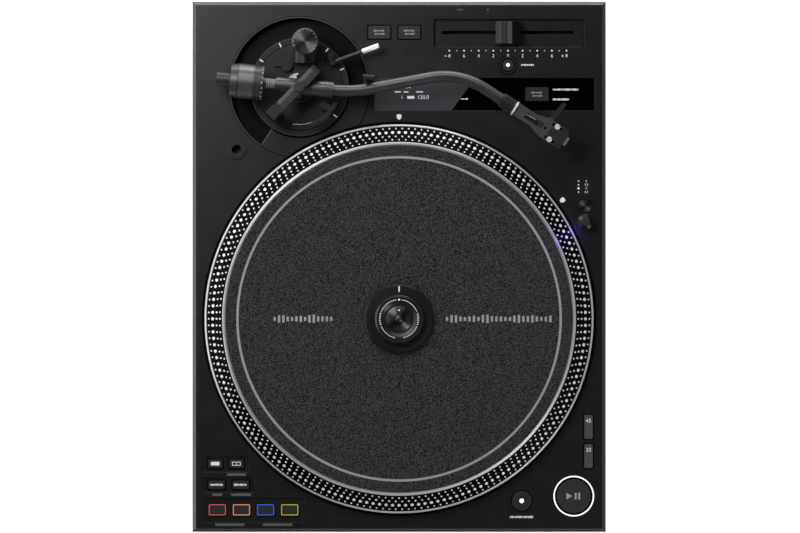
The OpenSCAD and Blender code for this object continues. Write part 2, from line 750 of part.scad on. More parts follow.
module arm_tube() {
    color("#6a6a6e") at_arm() {
        pipe(tube_start - 8, bend_1_at);
        bend([bend_1_at, bend_1_r], bend_1_r, -90, bend_1);
        translate(BEND_1_END) rotate(bend_1) pipe(0, middle_l);
        bend(BEND_2_AT + bend_2_r * [sin(bend_1), -cos(bend_1)], bend_2_r, 90 + shell_angle, bend_2);
        translate(BEND_2_END) rotate(shell_angle) pipe(0, end_l);
        translate([bend_1_at, 0]) weld();
        translate(BEND_1_END) rotate(bend_1) weld();
        translate(BEND_2_AT) rotate(bend_1) weld();
        translate(BEND_2_END) rotate(shell_angle) weld();
    }
}

module counterweight_bush() {
    color("#4a4a4d") at_arm() difference() {
        union() {
            along(bush_r, -weight_near - weight_l + 2, -weight_near - 2);
            along(stub_r, -stub_end, -weight_near - weight_l + 2);
        }
        along(bush_in_r, -rear_shaft_end - 5, -weight_near + 1);
    }
}

module counterweight() {
    color("#2d2d2f") at_arm() difference() {
        union() {
            along(weight_r, -weight_near - weight_l + 6, -weight_near - dial_l - 0.3);
            translate([-weight_near - weight_l, 0, 0]) rotate([0, 90, 0])
                cylinder(r1 = weight_r - 1.2, r2 = weight_r, h = 6);
            along(bush_r + 2, -weight_near - dial_l - 1, -weight_near);
        }
        along(bush_r + 0.06, -weight_near - weight_l - 1, -weight_near + 1);
    }
}

// The tracking-force dial, which turns on the weight's front collar
module force_dial() {
    color("#39393c") at_arm() difference() {
        along(weight_r - 0.7, -weight_near - dial_l, -weight_near);
        along(bush_r + 2.06, -weight_near - dial_l - 1, -weight_near + 1);
    }
}

module lock_nut() {
    ribs = 18;
    color("#303033") at_shell() difference() {
        along(nut_r, 0, nut_l);
        along(tube_r + 0.1, -1, 1);
        along(plug_r + 0.1, 0, nut_l + 1);
        for (i = [0 : ribs - 1]) rotate([i * 360 / ribs, 0, 0])
            translate([nut_l / 2, 0, nut_r]) cube([8, 0.8, 0.8], center = true);
    }
}

// ---------- headshell and cartridge ----------

module headshell_outline() {
    difference() {
        union() {
            translate([shell_from - 1, -shell_neck_w / 2]) square([26, shell_neck_w]);
            polygon([[shell_from + 18, -shell_neck_w / 2], [shell_from + 30, -shell_w / 2],
                     [shell_from + 30, shell_w / 2], [shell_from + 18, shell_neck_w / 2]]);
            translate([shell_from + 29, -shell_w / 2]) square([shell_l - 29, shell_w - 4]);
            translate([shell_from + 29, -shell_w / 2]) square([shell_l - 33, shell_w]);
            translate([shell_from + shell_l - 4, shell_w / 2 - 4]) circle(4);
        }
        translate([shell_from + 9.5, -2.4]) square([18, 4.8]);
        for (s = [-1, 1]) translate([screw_at - 5, s * screw_gap / 2 - 1.4]) square([10, 2.8]);
        translate([shell_from + 30, 0]) circle(1.2);
    }
}

module headshell() {
    color("#3a3a3c") at_shell() {
        translate([0, 0, shell_under]) linear_extrude(shell_t) headshell_outline();
        along(plug_r, -plug_in, shell_from);
        along(nut_r - 0.2, nut_l + 0.3, nut_l + 2);
        difference() {
            along(shell_neck_w / 2 - 0.05, nut_l + 2, nut_l + 5);
            translate([0, -10, shell_top]) cube([30, 20, 10]);
        }
        // Finger lift
        translate([shell_from + 30, shell_w / 2 - 1, shell_under + 0.6]) rotate(82) {
            translate([0, -2, 0]) cube([17, 4, 1.2]);
            translate([17, 0, 0]) cylinder(r = 2, h = 1.2);
        }
    }
}

module cartridge() {
    low = -stylus_drop + 4;
    color("#1d1d1f") at_shell() difference() {
        union() {
            translate([shell_from + 22, -8.2, cartridge_top - 4]) cube([24, 16.4, 4]);
            translate([shell_from + 24, -7, low]) cube([22, 14, cartridge_top - 3 - low]);
            for (y = [-4.5, -1.5, 1.5, 4.5]) translate([shell_from + 19, y, -6]) rotate([0, 90, 0])
                cylinder(r = 0.6, h = 6);
        }
        for (s = [-1, 1]) translate([screw_at, s * screw_gap / 2, -20]) cylinder(r = 1.25, h = 40);
        translate([shell_from + 38, -4, low - 1]) cube([10, 8, 5]);
    }
}

module stylus() {
    low = -stylus_drop + 4;
    color("#e8e8e8") at_shell() {
        translate([shell_from + 38.2, -3.8, low - 1.4]) cube([14, 7.6, 5]);
        translate([shell_from + 44, 0, low - 1.2]) rotate([0, 130, 0]) cylinder(r = 0.4, h = 3);
        translate([tip_at - 0.7, 0, -stylus_drop]) cylinder(r1 = 0.05, r2 = 0.5, h = 1.4);
    }
}

module cartridge_screws() {
    color("#f0f0f0") at_shell() for (s = [-1, 1]) translate([screw_at, s * screw_gap / 2, 0]) difference() {
        union() {
            translate([0, 0, cartridge_top - 5.5]) cylinder(r = 1.25, h = 8.5);
            translate([0, 0, shell_top]) cylinder(r = 2.3, h = 1.6);
        }
        translate([0, 0, shell_top + 1.6]) rotate(35) cube([6, 0.6, 1.4], center = true);
    }
}

// ---------- cueing, arm rest ----------

module cue_lever() {
    color("#1d1d1f") at_base() translate([cue_x, cue_y, cue_z]) rotate(cue_angle) {
        translate([0, -3.4, 0]) rotate([-90, 0, 0]) {
            cylinder(r = 3.6, h = 4.3);
            cylinder(r = cue_pin_r, h = 9.6);
        }
        rotate([0, -6, 0]) translate([0, -1.2, 0]) {
            along(1.9, 2, 26);
            along(1.6, 25, 27);
            along(2.1, 26.5, 42);
        }
    }
}

module cue_lifter() {
    arc_from = -72;
    arc_to = -24;
    link_z = lift_top_z - 5.5;
    color("#4a4a4d") at_base() {
        translate([lift_x, lift_y, 0]) ring(lift_r, 0, base_low_z + 10, link_z + 2.4);
        difference() {
            sector(lift_arc_r + lift_arc_w / 2, arc_from, arc_to, link_z, lift_top_z);
            ring(lift_arc_r - lift_arc_w / 2, 0, link_z - 1, lift_top_z + 1);
        }
        rotate(atan2(lift_y, lift_x)) translate([norm([lift_x, lift_y]) - 2, -2.6, link_z])
            cube([8.5, 5.2, 2.4]);
    }
}

// A lobe off the arm base, a post and the half cradle that the tube lies on
module arm_rest() {
    low = base_top_z - arm_z;
    color("#262628") at_arm() difference() {
        union() {
            translate([27, -4 + rest_y / 2, low]) cube([rest_at - 27 + 4, 8, 3]);
            translate([rest_at - 4, rest_y - 4, low]) cube([8, clip_y - rest_y + 6.4, -tube_r - 0.3 - low]);
            translate([rest_at - 2.4, clip_y - 2.4, -8]) cube([4.8, 4.8, clip_z + 8]);
            translate([rest_at - 2.4, clip_y, clip_z]) rotate([0, 90, 0]) cylinder(r = 2.4, h = 4.8);
        }
        translate([rest_at - 5, clip_y, clip_z]) rotate([0, 90, 0]) cylinder(r = clip_pin_r + 0.05, h = 10);
        translate([rest_at - 6, rest_y, 0]) rotate([0, 90, 0]) cylinder(r = tube_r + 0.5, h = 12);
    }
}

// The locking clip, open: it stands beside the tube and swings over it
module arm_clip() {
    color("#39393c") at_arm() translate([rest_at, clip_y, clip_z]) {
        translate([-4.6, 0, 0]) rotate([0, 90, 0]) cylinder(r = clip_pin_r, h = 9.2);
        for (s = [-1, 1]) translate([s * 3.7 - 0.9, 0, 0]) rotate([0, 90, 0]) cylinder(r = 2.4, h = 1.8);
        for (s = [-1, 1]) translate([s * 3.7 - 0.9, -1, 0]) cube([1.8, 2, clip_l - 2]);
        translate([-4.6, -1, clip_l - 4]) cube([9.2, 2, 4]);
    }
}

// ---------- controls ----------

module fader_knob() {
    low = deck_z - fader_pocket_t + 0.4;
    color("#2c2c2e") {
        difference() {
            plate([fader_x, fader_y, 20.9, 18.7], low, deck_z + 8, 1.5);
            translate([fader_x - 3, fader_y - 12, deck_z + 5]) cube([6, 24, 5]);
        }
        translate([fader_x, fader_y, low - 8]) linear_extrude(9) square([8, 1.8], center = true);
    }
}

module power_dial() {
    color("#4c4c50") translate([DIAL[0], DIAL[1], 0]) ring(DIAL[2], strobe_r + 0.08, deck_z + 0.3, deck_z + 7);
}

// The pop-up stylus lamp, pushed down
module stylus_lamp() {
    color("#333336") translate([LAMP[0], LAMP[1], 0]) ring(LAMP[2], 0, deck_z - 26, deck_z + 1.5);
}

module start_button() { round_button(BUTTON_START, deck_z + 1.6, "#1a1a1b"); }
module motor_button() { round_button(BUTTON_MOTOR, deck_z + 1.4, "#1f1f21"); }
module reset_button() { round_button(BUTTON_RESET, deck_z + 1.2, "#1f1f21"); }
module speed_33_button() { rect_button(BUTTON_33, deck_z + 1.4, "#4a4a4d"); }
module speed_45_button() { rect_button(BUTTON_45, deck_z + 1.4, "#4a4a4d"); }
module pad_1() { rect_button(pad_at(0), low_top_z + 1, "#7a3a34"); }
module pad_2() { rect_button(pad_at(1), low_top_z + 1, "#7a5230"); }
module pad_3() { rect_button(pad_at(2), low_top_z + 1, "#2f4f7a"); }
module pad_4() { rect_button(pad_at(3), low_top_z + 1, "#7a762f"); }
module shift_button() { rect_button(BUTTON_SHIFT, low_top_z, "#28282a"); }
module grid_button() { rect_button(BUTTON_GRID, low_top_z, "#28282a"); }
module cue_button() { rect_button(BUTTON_CUE, low_top_z, "#28282a"); }
module sample_button() { rect_button(BUTTON_SAMPLE, low_top_z, "#28282a"); }
module step_button() { rect_button(BUTTON_STEP, deck_z + 1.2, "#28282a"); }
module range_button() { rect_button(BUTTON_RANGE, deck_z + 1.2, "#28282a"); }
module needle_button() { rect_button(BUTTON_NEEDLE, deck_z + 1, "#28282a"); }

cabinet();
lower_case();
case_screws();
rear_sockets();
circuit_boards();
motor_stator();
spindle_bearing();
display_window();
strobe_lamp();
headshell_socket();
foot_front_left();
foot_front_right();
foot_rear_left();
foot_rear_right();
power_dial();
platter();
slipmat();
spindle();
rotor_magnet();
clamp_base();
clamp_knob();
height_ring();
arm_base();
anti_skate_housing();
anti_skate_dial();
base_lock_knob();
gimbal_yoke();
gimbal_ring();
arm_housing();
arm_tube();
counterweight_bush();
counterweight();
force_dial();
lock_nut();
headshell();
cartridge();
stylus();
cartridge_screws();
cue_lever();
cue_lifter();
arm_rest();
arm_clip();
fader_knob();
stylus_lamp();
start_button();
motor_button();
speed_33_button();
speed_45_button();
pad_1();
pad_2();
pad_3();
pad_4();
shift_button();
grid_button();
cue_button();
sample_button();
step_button();
range_button();
reset_button();
needle_button();
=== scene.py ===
import json
import math
import random
import bpy
import bmesh
from mathutils import Matrix, Vector


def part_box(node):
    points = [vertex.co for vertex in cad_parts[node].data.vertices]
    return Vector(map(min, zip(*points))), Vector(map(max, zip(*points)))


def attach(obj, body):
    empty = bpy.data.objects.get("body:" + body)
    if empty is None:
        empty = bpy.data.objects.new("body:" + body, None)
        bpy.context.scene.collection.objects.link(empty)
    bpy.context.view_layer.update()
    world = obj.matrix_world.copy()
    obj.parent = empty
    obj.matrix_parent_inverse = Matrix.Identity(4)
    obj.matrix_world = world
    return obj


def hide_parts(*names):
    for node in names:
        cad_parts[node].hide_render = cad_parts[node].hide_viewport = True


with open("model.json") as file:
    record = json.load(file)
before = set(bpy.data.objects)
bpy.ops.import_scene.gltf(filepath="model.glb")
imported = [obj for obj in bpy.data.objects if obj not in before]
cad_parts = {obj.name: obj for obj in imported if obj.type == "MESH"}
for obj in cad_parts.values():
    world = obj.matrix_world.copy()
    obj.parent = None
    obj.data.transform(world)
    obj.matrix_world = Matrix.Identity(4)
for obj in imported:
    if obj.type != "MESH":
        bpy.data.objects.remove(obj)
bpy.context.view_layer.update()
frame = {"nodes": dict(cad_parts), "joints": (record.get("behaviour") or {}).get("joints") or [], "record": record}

MM = 0.001
MOTTLE_SCALE, GLOSS_SCALE = 35, 160
NOISE_LOW, NOISE_HIGH = 0.3, 0.7
UP = Vector((0, 0, 1))
INK_SINK, INK_RISE = 0.02 * MM, 0.03 * MM

# --- places, worked out from the CAD frame ---


def middle(node):
    low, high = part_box(node)
    return (low + high) / 2


def top_of(node):
    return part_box(node)[1].z


def half_size(node):
    low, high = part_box(node)
    return (high - low) / 2


def joint(name):
    return next(j for j in frame["joints"] if j["name"] == name)


def printed(z):
    """The lowest and highest level of ink on a surface at height z."""
    return z - INK_SINK, z + INK_RISE


window_sunk = 0.05 * MM
deck_top = top_of("display_window") + window_sunk
platter_mid = Vector(joint("platter_spin")["pos_m"])
arm_pivot = Vector(joint("arm_swing")["pos_m"])
platter_foot = (platter_mid.x, platter_mid.y, 0)
arm_foot = (arm_pivot.x, arm_pivot.y, 0)
shell_root = Vector(joint("lock_nut_turn")["pos_m"])
shell_axis = Vector(joint("lock_nut_turn")["axis"])
shell_side = shell_axis.cross(UP)
arm_axis = Vector(joint("counterweight_turn")["axis"])
platter_top = top_of("platter")
mat_low, mat_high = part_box("slipmat")
mat_r = half_size("slipmat").x
dish_r = 59 * MM

# --- node material helpers ---


class Shader:
    """A material, its node tree and its main shader."""

    def __init__(self, name, rough, metal=0.0, specular=0.5):
        self.mat = bpy.data.materials.new(name)
        self.mat.use_nodes = True
        self.tree = self.mat.node_tree
        self.bsdf = self.tree.nodes["Principled BSDF"]
        self.bsdf.inputs["Roughness"].default_value = rough
        self.bsdf.inputs["Metallic"].default_value = metal
        self.bsdf.inputs["Specular IOR Level"].default_value = specular
        self.coords = self.tree.nodes.new("ShaderNodeTexCoord").outputs["Object"]

    def node(self, kind, inputs=None, **settings):
        made = self.tree.nodes.new(kind)
        for key, value in settings.items():
            setattr(made, key, value)
        for key, value in (inputs or {}).items():
            if isinstance(value, bpy.types.NodeSocket):
                self.tree.links.new(value, made.inputs[key])
            else:
                made.inputs[key].default_value = value
        return made

    def math(self, operation, a, b=0.0):
        return self.node("ShaderNodeMath", {0: a, 1: b}, operation=operation).outputs[0]

    def link(self, output, name):
        self.tree.links.new(output, self.bsdf.inputs[name])

    def noise(self, scale, detail=3.0, stretch=None):
        place = self.coords
        if stretch:
            place = self.node("ShaderNodeMapping", {"Vector": place, "Scale": stretch}).outputs[0]
        inputs = {"Vector": place, "Scale": scale, "Detail": detail}
        return self.node("ShaderNodeTexNoise", inputs).outputs["Fac"]

    def span(self, value, low, high, to_low=0.0, to_high=1.0):
        inputs = {"Value": value, "From Min": low, "From Max": high, "To Min": to_low, "To Max": to_high}
        return self.node("ShaderNodeMapRange", inputs).outputs[0]

    def mix(self, factor, a, b):
        made = self.tree.nodes.new("ShaderNodeMix")
        made.data_type = "RGBA"
        for socket, value in ((made.inputs[0], factor), (made.inputs[6], a), (made.inputs[7], b)):
            if isinstance(value, bpy.types.NodeSocket):
                self.tree.links.new(value, socket)
            elif isinstance(value, (int, float)):
                socket.default_value = value
            else:
                socket.default_value = (*value, 1.0)
        return made.outputs[2]

    def bump(self, height, strength, depth, edge=0.0):
        """Small relief, over edges that are softened by the radius edge."""
        inputs = {"Height": height, "Strength": strength, "Distance": depth}
        if edge:
            soft = self.node("ShaderNodeBevel", {"Radius": edge}, samples=4)
            inputs["Normal"] = soft.outputs[0]
        self.link(self.node("ShaderNodeBump", inputs).outputs[0], "Normal")

    def vector(self, operation, a, b=None, output=0):
        inputs = {0: a} if b is None else {0: a, 1: tuple(b)}
        return self.node("ShaderNodeVectorMath", inputs, operation=operation).outputs[output]

    def radius_from(self, centre):
        """Distance from an upright axis through centre."""
        moved = self.vector("SUBTRACT", self.coords, (centre[0], centre[1], 0))
        return self.vector("LENGTH", self.vector("MULTIPLY", moved, (1, 1, 0)), output="Value")

    def along(self, origin, direction):
        """Distance from origin, measured along direction."""
        moved = self.vector("SUBTRACT", self.coords, origin)
        return self.vector("DOT_PRODUCT", moved, direction, "Value")

    def axis(self, index):
        """One coordinate: 0, 1 or 2 for x, y or z."""
        return self.node("ShaderNodeSeparateXYZ", {0: self.coords}).outputs[index]

    def band(self, value, low, high, soft):
        """1 between low and high, 0 outside, with soft edges."""
        rise = self.span(value, low - soft, low + soft)
        fall = self.span(value, high - soft, high + soft, 1.0, 0.0)
        return self.math("MULTIPLY", rise, fall)

    def both(self, a, b, share):
        """a and b mixed, with share of a."""
        return self.math("ADD", self.math("MULTIPLY", a, share), self.math("MULTIPLY", b, 1 - share))

    def vary(self, noise, low, high):
        """Stretches a noise's usual range to run from low to high."""
        return self.span(noise, NOISE_LOW, NOISE_HIGH, low, high)

    def satin(self, grain, low, high, strength, depth, edge=0.0):
        """Roughness from low to high, and fine relief, from one grain."""
        self.link(self.vary(grain, low, high), "Roughness")
        self.bump(grain, strength, depth, edge)

    def spin(self, amount):
        """Highlights drawn out as on metal turned about an upright axis."""
        self.bsdf.inputs["Anisotropic"].default_value = amount
        self.bsdf.inputs["Anisotropic Rotation"].default_value = 0.25
        tangent = self.node("ShaderNodeTangent", direction_type="RADIAL", axis="Z")
        self.link(tangent.outputs[0], "Tangent")

    def grooves(self, radius, density):
        """Fine rings of uneven depth."""
        place = self.math("MULTIPLY", radius, density)
        return self.node("ShaderNodeTexNoise", {"W": place}, noise_dimensions="1D").outputs["Fac"]

    def glow(self, colour, strength):
        self.bsdf.inputs["Emission Color"].default_value = (*colour, 1.0)
        self.bsdf.inputs["Emission Strength"].default_value = strength


def shade(colour, factor):
    return tuple(min(1.0, c * factor) for c in colour)


def grey(value, warm=0.0):
    return (value * (1 + warm), value, value * (1 - warm))


def grained(name, colour, rough, metal=0.0, grain=2500, depth=0.03, specular=0.5, stretch=None,
            mottle=0.12, edge=0.35, glow=0.0):
    """Paint or moulded resin: fine grain, slow mottling and uneven gloss. depth and edge are in mm."""
    s = Shader(name, rough, metal, specular)
    slow = s.noise(MOTTLE_SCALE, 4)
    fine = s.noise(grain, 2, stretch)
    tone = s.mix(s.both(slow, fine, 0.6), shade(colour, 1 - mottle), shade(colour, 1 + mottle))
    s.link(tone, "Base Color")
    s.link(s.vary(s.noise(GLOSS_SCALE, 5), rough * 0.88, min(1.0, rough * 1.12)), "Roughness")
    s.bump(fine, 0.35, depth * MM, edge * MM)
    # A glow is painted light: the surface shines by itself, though it is no lamp.
    if glow:
        s.glow(colour, glow)
    return s.mat


def turned(name, colour, rough, centre, metal=1.0, rings=900, bright=0.25, spin=0.93):
    """Metal turned on a lathe about an upright axis: fine rings and wedge-shaped highlights."""
    s = Shader(name, rough, metal)
    s.spin(spin)
    groove = s.grooves(s.radius_from(centre), rings)
    s.link(s.mix(groove, shade(colour, 1 - bright), shade(colour, 1 + bright)), "Base Color")
    s.link(s.span(groove, 0.2, 0.8, rough * 0.75, rough * 1.25), "Roughness")
    s.bump(groove, 0.3, 0.02 * MM)
    return s.mat


def glowing(name, colour, strength):
    """A lit lens or screen, slightly uneven."""
    s = Shader(name, 0.5)
    s.bsdf.inputs["Base Color"].default_value = (*colour, 1.0)
    s.glow(colour, strength)
    s.link(s.vary(s.noise(400, 2), strength * 0.9, strength * 1.1), "Emission Strength")
    return s.mat


# --- materials ---


def deck_paint():
    """Satin black paint, deeper and duller inside the tonearm's dish."""
    s = Shader("deck_paint", 0.36)
    fine = s.noise(3200, 2)
    inside = s.band(s.radius_from(arm_pivot), -1.0, dish_r + 0.2 * MM, 0.05 * MM)
    below = s.span(s.axis(2), deck_top - 1.2 * MM, deck_top - 0.4 * MM, 1.0, 0.0)
    sunk = s.math("MULTIPLY", inside, below)
    paint = s.mix(s.both(s.noise(9, 3), fine, 0.5), grey(0.0035), grey(0.005))
    s.link(s.mix(sunk, paint, grey(0.001)), "Base Color")
    s.link(s.span(sunk, 0, 1, 0.5, 0.15), "Specular IOR Level")
    s.link(s.vary(s.noise(60, 5), 0.33, 0.37), "Roughness")
    s.bump(fine, 0.2, 0.01 * MM, 0.4 * MM)
    return s.mat


def platter_metal():
    """Bright turned aluminium with the band under the strobe dots painted black."""
    s = Shader("platter_metal", 0.3, 1.0)
    s.spin(0.9)
    r = s.radius_from(platter_mid)
    rings = s.grooves(r, 5000)
    band_in, band_out, rim_low = 150.9 * MM, 164.4 * MM, deck_top + 6 * MM
    band = s.band(r, band_in, band_out, 0.12 * MM)
    above = s.span(s.axis(2), rim_low, rim_low + 0.5 * MM)
    painted = s.math("MULTIPLY", band, above)
    s.link(s.mix(painted, s.mix(rings, grey(0.56), grey(0.7)), grey(0.001)), "Base Color")
    s.link(s.span(painted, 0, 1, 0.6, 0.0), "Metallic")
    s.link(s.span(painted, 0, 1, 0.5, 0.05), "Specular IOR Level")
    s.link(s.span(rings, 0.2, 0.8, 0.36, 0.46), "Roughness")
    s.bump(rings, 0.2, 0.02 * MM)
    return s.mat


def felt():
    """Pressed felt: short pile, speckled, with a printed ring."""
    s = Shader("slipmat_felt", 0.95, 0.0, 0.15)
    fine = s.noise(2600, 3)
    speck = s.both(s.noise(1450, 1), fine, 0.75)
    cloth = s.mix(s.span(speck, 0.46, 0.57), grey(0.002), grey(0.066))
    ring_in, ring_out = 136.9 * MM, 138.9 * MM
    ring = s.band(s.radius_from(platter_mid), ring_in, ring_out, 0.15 * MM)
    worn = s.math("MULTIPLY", ring, s.span(fine, 0.25, 0.55, 0.6, 1.0))
    s.link(s.mix(worn, cloth, grey(0.34)), "Base Color")
    s.bsdf.inputs["Sheen Weight"].default_value = 0.05
    s.bsdf.inputs["Sheen Roughness"].default_value = 0.6
    s.bump(speck, 0.9, 0.35 * MM)
    return s.mat


def window_gloss():
    """Smoked window: a painted reflection in dark grey on the left of a slanting edge, black on its right."""
    s = Shader("window_gloss", 0.12, 0.0, 0.12)
    slant, split_from_left = 0.73, 75.9 * MM
    low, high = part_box("display_window")
    edge = s.math("ADD", s.axis(0), s.math("MULTIPLY", s.axis(1), -slant))
    split = low.x + split_from_left - (low.y + high.y) / 2 * slant
    dark = s.span(edge, split - 0.5 * MM, split + 0.5 * MM)
    # Painted reflection: a dark grey tone on the left of the slanting edge.
    painted_reflection = s.mix(s.noise(18, 3), (0.05, 0.049, 0.055), (0.058, 0.057, 0.064))
    s.link(s.mix(dark, painted_reflection, grey(0.0004)), "Base Color")
    s.link(s.vary(s.noise(220, 4), 0.08, 0.14), "Roughness")
    return s.mat


def paint(slot, *look, **detail):
    """Grained material for one of the record's slots."""
    MATERIALS[slot] = grained(slot, *look, **detail)


MATERIALS = {
    "deck_paint": deck_paint(),
    "copper": grained("copper_wire", (0.6, 0.25, 0.1), 0.35, 1.0, grain=1200, stretch=(1, 1, 20)),
    "brass": turned("bearing_brass", (0.65, 0.48, 0.2), 0.3, platter_mid),
    "window_black": window_gloss(),
    "platter_aluminium": platter_metal(),
    "magnet": grained("magnet_iron", grey(0.06), 0.55, 0.8),
    "clamp_black": turned("clamp_black", grey(0.006), 0.36, platter_mid, 0.1, 3000, 0.15, 0.3),
    "spun_black": turned("spun_black", grey(0.075), 0.36, middle("anti_skate_dial"), 1.0, 2500, 0.5, 0.98),
    "mat_felt": felt(),
}
paint("case_resin", grey(0.008), 0.62, grain=1500, depth=0.12, specular=0.35)
paint("zinc_steel", grey(0.5), 0.35, 1.0, grain=900)
paint("board_resin", (0.004, 0.009, 0.006), 0.5, grain=700)
paint("lamp_housing", grey(0.02), 0.4)
paint("satin_black_metal", grey(0.022), 0.34, 0.4, grain=2400, depth=0.02)
paint("foot_rubber", grey(0.012), 0.75, grain=1800, depth=0.06, specular=0.3)
paint("steel", grey(0.95), 0.27, 0.45, grain=1400, depth=0.01)
paint("arm_base_paint", grey(0.0075), 0.4, 0.1, grain=2200, specular=0.4)
paint("tube_gunmetal", grey(0.085), 0.34, 0.85, grain=3000, depth=0.008, mottle=0.05)
paint("weight_black", grey(0.035), 0.4, 0.5, grain=2600, depth=0.015)
paint("cartridge_resin", grey(0.012), 0.45)
paint("stylus_grip", grey(0.35), 0.3, grain=900, depth=0.01)
paint("button_black", grey(0.009), 0.48, grain=2000, depth=0.03)
paint("pad_red", (0.004, 0.003, 0.003), 0.6, grain=1500)
paint("pad_orange", (0.006, 0.003, 0.002), 0.6, grain=1500)
paint("pad_blue", (0.002, 0.003, 0.005), 0.6, grain=1500)
paint("pad_yellow", (0.004, 0.004, 0.002), 0.6, grain=1500)
SATIN_BLACK, BRIGHT_STEEL = MATERIALS["satin_black_metal"], MATERIALS["steel"]
# The white and soft inks also glow, though they are no lamp: painted light over the print.
WHITE_INK_PAINTED_GLOW = grained("white_ink", grey(0.8), 0.6, grain=1500, depth=0.005, glow=0.12)
SOFT_INK_PAINTED_GLOW = grained("soft_ink", grey(0.3), 0.6, grain=1500, depth=0.005, glow=0.1)
GREY_INK = grained("grey_ink", grey(0.085), 0.6, grain=1500, depth=0.005)
MAT_INK = grained("mat_ink", grey(0.32), 0.9, grain=1300, depth=0.2, mottle=0.5)
DOT_METAL = turned("dot_metal", grey(0.95), 0.42, platter_mid, 0.5, 900, 0.15, 0.9)
GAP_BLACK = grained("gap_black", grey(0.001), 0.8, specular=0.05)
LIP_GREY = grained("lip_grey", grey(0.05), 0.4, grain=2200)
SPUN_BLACK = turned("clamp_spun_black", grey(0.09), 0.35, platter_mid, 1.0, 3500, 0.35, 0.98)
KNOB_BLACK = turned("knob_spun_black", grey(0.12), 0.36, middle("power_dial"), 1.0, 2500, 0.35, 0.98)
LAMP_BLACK = turned("lamp_spun_black", grey(0.07), 0.36, middle("stylus_lamp"), 1.0, 2500, 0.35, 0.98)
GLOW_WHITE = glowing("glow_white", (0.9, 0.93, 0.95), 0.55)
SPEED_GREY = grained("speed_grey", grey(0.055), 0.5, grain=2200)
START_GREY = grained("start_grey", grey(0.022), 0.4, grain=2200, edge=0.8)

# --- mesh helpers ---


def new_object(name, data):
    made = bpy.data.objects.new(name, data)
    bpy.context.scene.collection.objects.link(made)
    return made


def add_mesh(name, verts, faces, body, material, smooth=None):
    """A new mesh piece, riding on a body. Edges below the angle smooth, in degrees, look round."""
    mesh = bpy.data.meshes.new(name)
    mesh.from_pydata([tuple(v) for v in verts], [], faces)
    mesh.validate()
    made = bmesh.new()
    made.from_mesh(mesh)
    bmesh.ops.remove_doubles(made, verts=made.verts, dist=1e-7)
    bmesh.ops.recalc_face_normals(made, faces=made.faces)
    made.to_mesh(mesh)
    made.free()
    mesh.materials.append(material)
    if smooth is not None:
        mesh.polygons.foreach_set("use_smooth", [True] * len(mesh.polygons))
        mesh.set_sharp_from_angle(angle=math.radians(smooth))
    piece = new_object(name, mesh)
    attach(piece, body)
    return piece


class Solids:
    """Collects simple closed solids for one piece."""

    def __init__(self):
        self.verts, self.faces = [], []

    def prism(self, outline, z0, z1, place=None):
        """An upright prism over a counter-clockwise outline; place is a matrix."""
        n, start = len(outline), len(self.verts)
        points = [Vector((x, y, z)) for z in (z0, z1) for x, y in outline]
        self.verts += [place @ p for p in points] if place else points
        self.faces.append([start + i for i in reversed(range(n))])
        self.faces.append([start + n + i for i in range(n)])
        for i in range(n):
            j = (i + 1) % n
            self.faces.append([start + i, start + j, start + n + j, start + n + i])
        return self

    def box(self, x, y, w, d, z0, z1, turn=0.0):
        place = Matrix.Translation((x, y, 0)) @ Matrix.Rotation(turn, 4, "Z")
        corners = [(-w / 2, -d / 2), (w / 2, -d / 2), (w / 2, d / 2), (-w / 2, d / 2)]
        return self.prism(corners, z0, z1, place)

    def disc(self, x, y, r, z0, z1, steps=20):
        turn = 2 * math.pi / steps
        outline = [(x + r * math.cos(i * turn), y + r * math.sin(i * turn)) for i in range(steps)]
        return self.prism(outline, z0, z1)

    def arc(self, centre, r0, r1, a0, a1, z0, z1, steps=24):
        """Part of a flat ring, from angle a0 to a1 in degrees."""
        angles = [math.radians(a0 + (a1 - a0) * i / steps) for i in range(steps + 1)]
        for a, b in zip(angles, angles[1:]):
            outline = [(centre[0] + r * math.cos(t), centre[1] + r * math.sin(t))
                       for r, t in ((r0, a), (r1, a), (r1, b), (r0, b))]
            self.prism(outline, z0, z1)
        return self

    def make(self, name, body, material, smooth=None):
        return add_mesh(name, self.verts, self.faces, body, material, smooth)


def lathe(name, profile, centre, body, material, axis=UP, steps=96, smooth=35):
    """Revolves (radius, height) points about an axis through centre."""
    turn = Vector(axis).normalized().to_track_quat("Z", "Y").to_matrix().to_4x4()
    place = Matrix.Translation(centre) @ turn
    verts, faces = [], []
    n = len(profile)
    for i in range(steps):
        a = 2 * math.pi * i / steps
        verts += [place @ Vector((r * math.cos(a), r * math.sin(a), z)) for r, z in profile]
    for i in range(steps):
        k = (i + 1) % steps
        for j in range(n):
            m = (j + 1) % n
            faces.append([i * n + j, k * n + j, k * n + m, i * n + m])
    return add_mesh(name, verts, faces, body, material, smooth)


def tube(name, points, radius, body, material):
    """A round wire along points, as a mesh."""
    curve = bpy.data.curves.new(name, "CURVE")
    curve.dimensions = "3D"
    curve.bevel_depth = radius
    curve.bevel_resolution = 3
    curve.use_fill_caps = True
    spline = curve.splines.new("BEZIER")
    spline.bezier_points.add(len(points) - 1)
    for knot, point in zip(spline.bezier_points, points):
        knot.co = point
        knot.handle_left_type = knot.handle_right_type = "AUTO"
    return from_curve(name, curve, body, material)


def from_curve(name, curve, body, material, place=None):
    """Turns a curve or text into a mesh piece."""
    holder = new_object(name + "_curve", curve)
    bpy.context.view_layer.update()
    mesh = bpy.data.meshes.new_from_object(holder.evaluated_get(bpy.context.evaluated_depsgraph_get()))
    bpy.data.objects.remove(holder)
    bpy.data.curves.remove(curve)
    if place:
        mesh.transform(place)
    mesh.materials.clear()
    mesh.materials.append(material)
    piece = new_object(name, mesh)
    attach(piece, body)
    return piece


def digits(name, text, size, x, y, z, body, material):
    """Generic numbers, printed flat at height z."""
    curve = bpy.data.curves.new(name, "FONT")
    curve.body = text
    curve.size = size
    curve.align_x = "CENTER"
    curve.align_y = "CENTER"
    curve.extrude = 0.01 * MM
    return from_curve(name, curve, body, material, Matrix.Translation((x, y, z)))


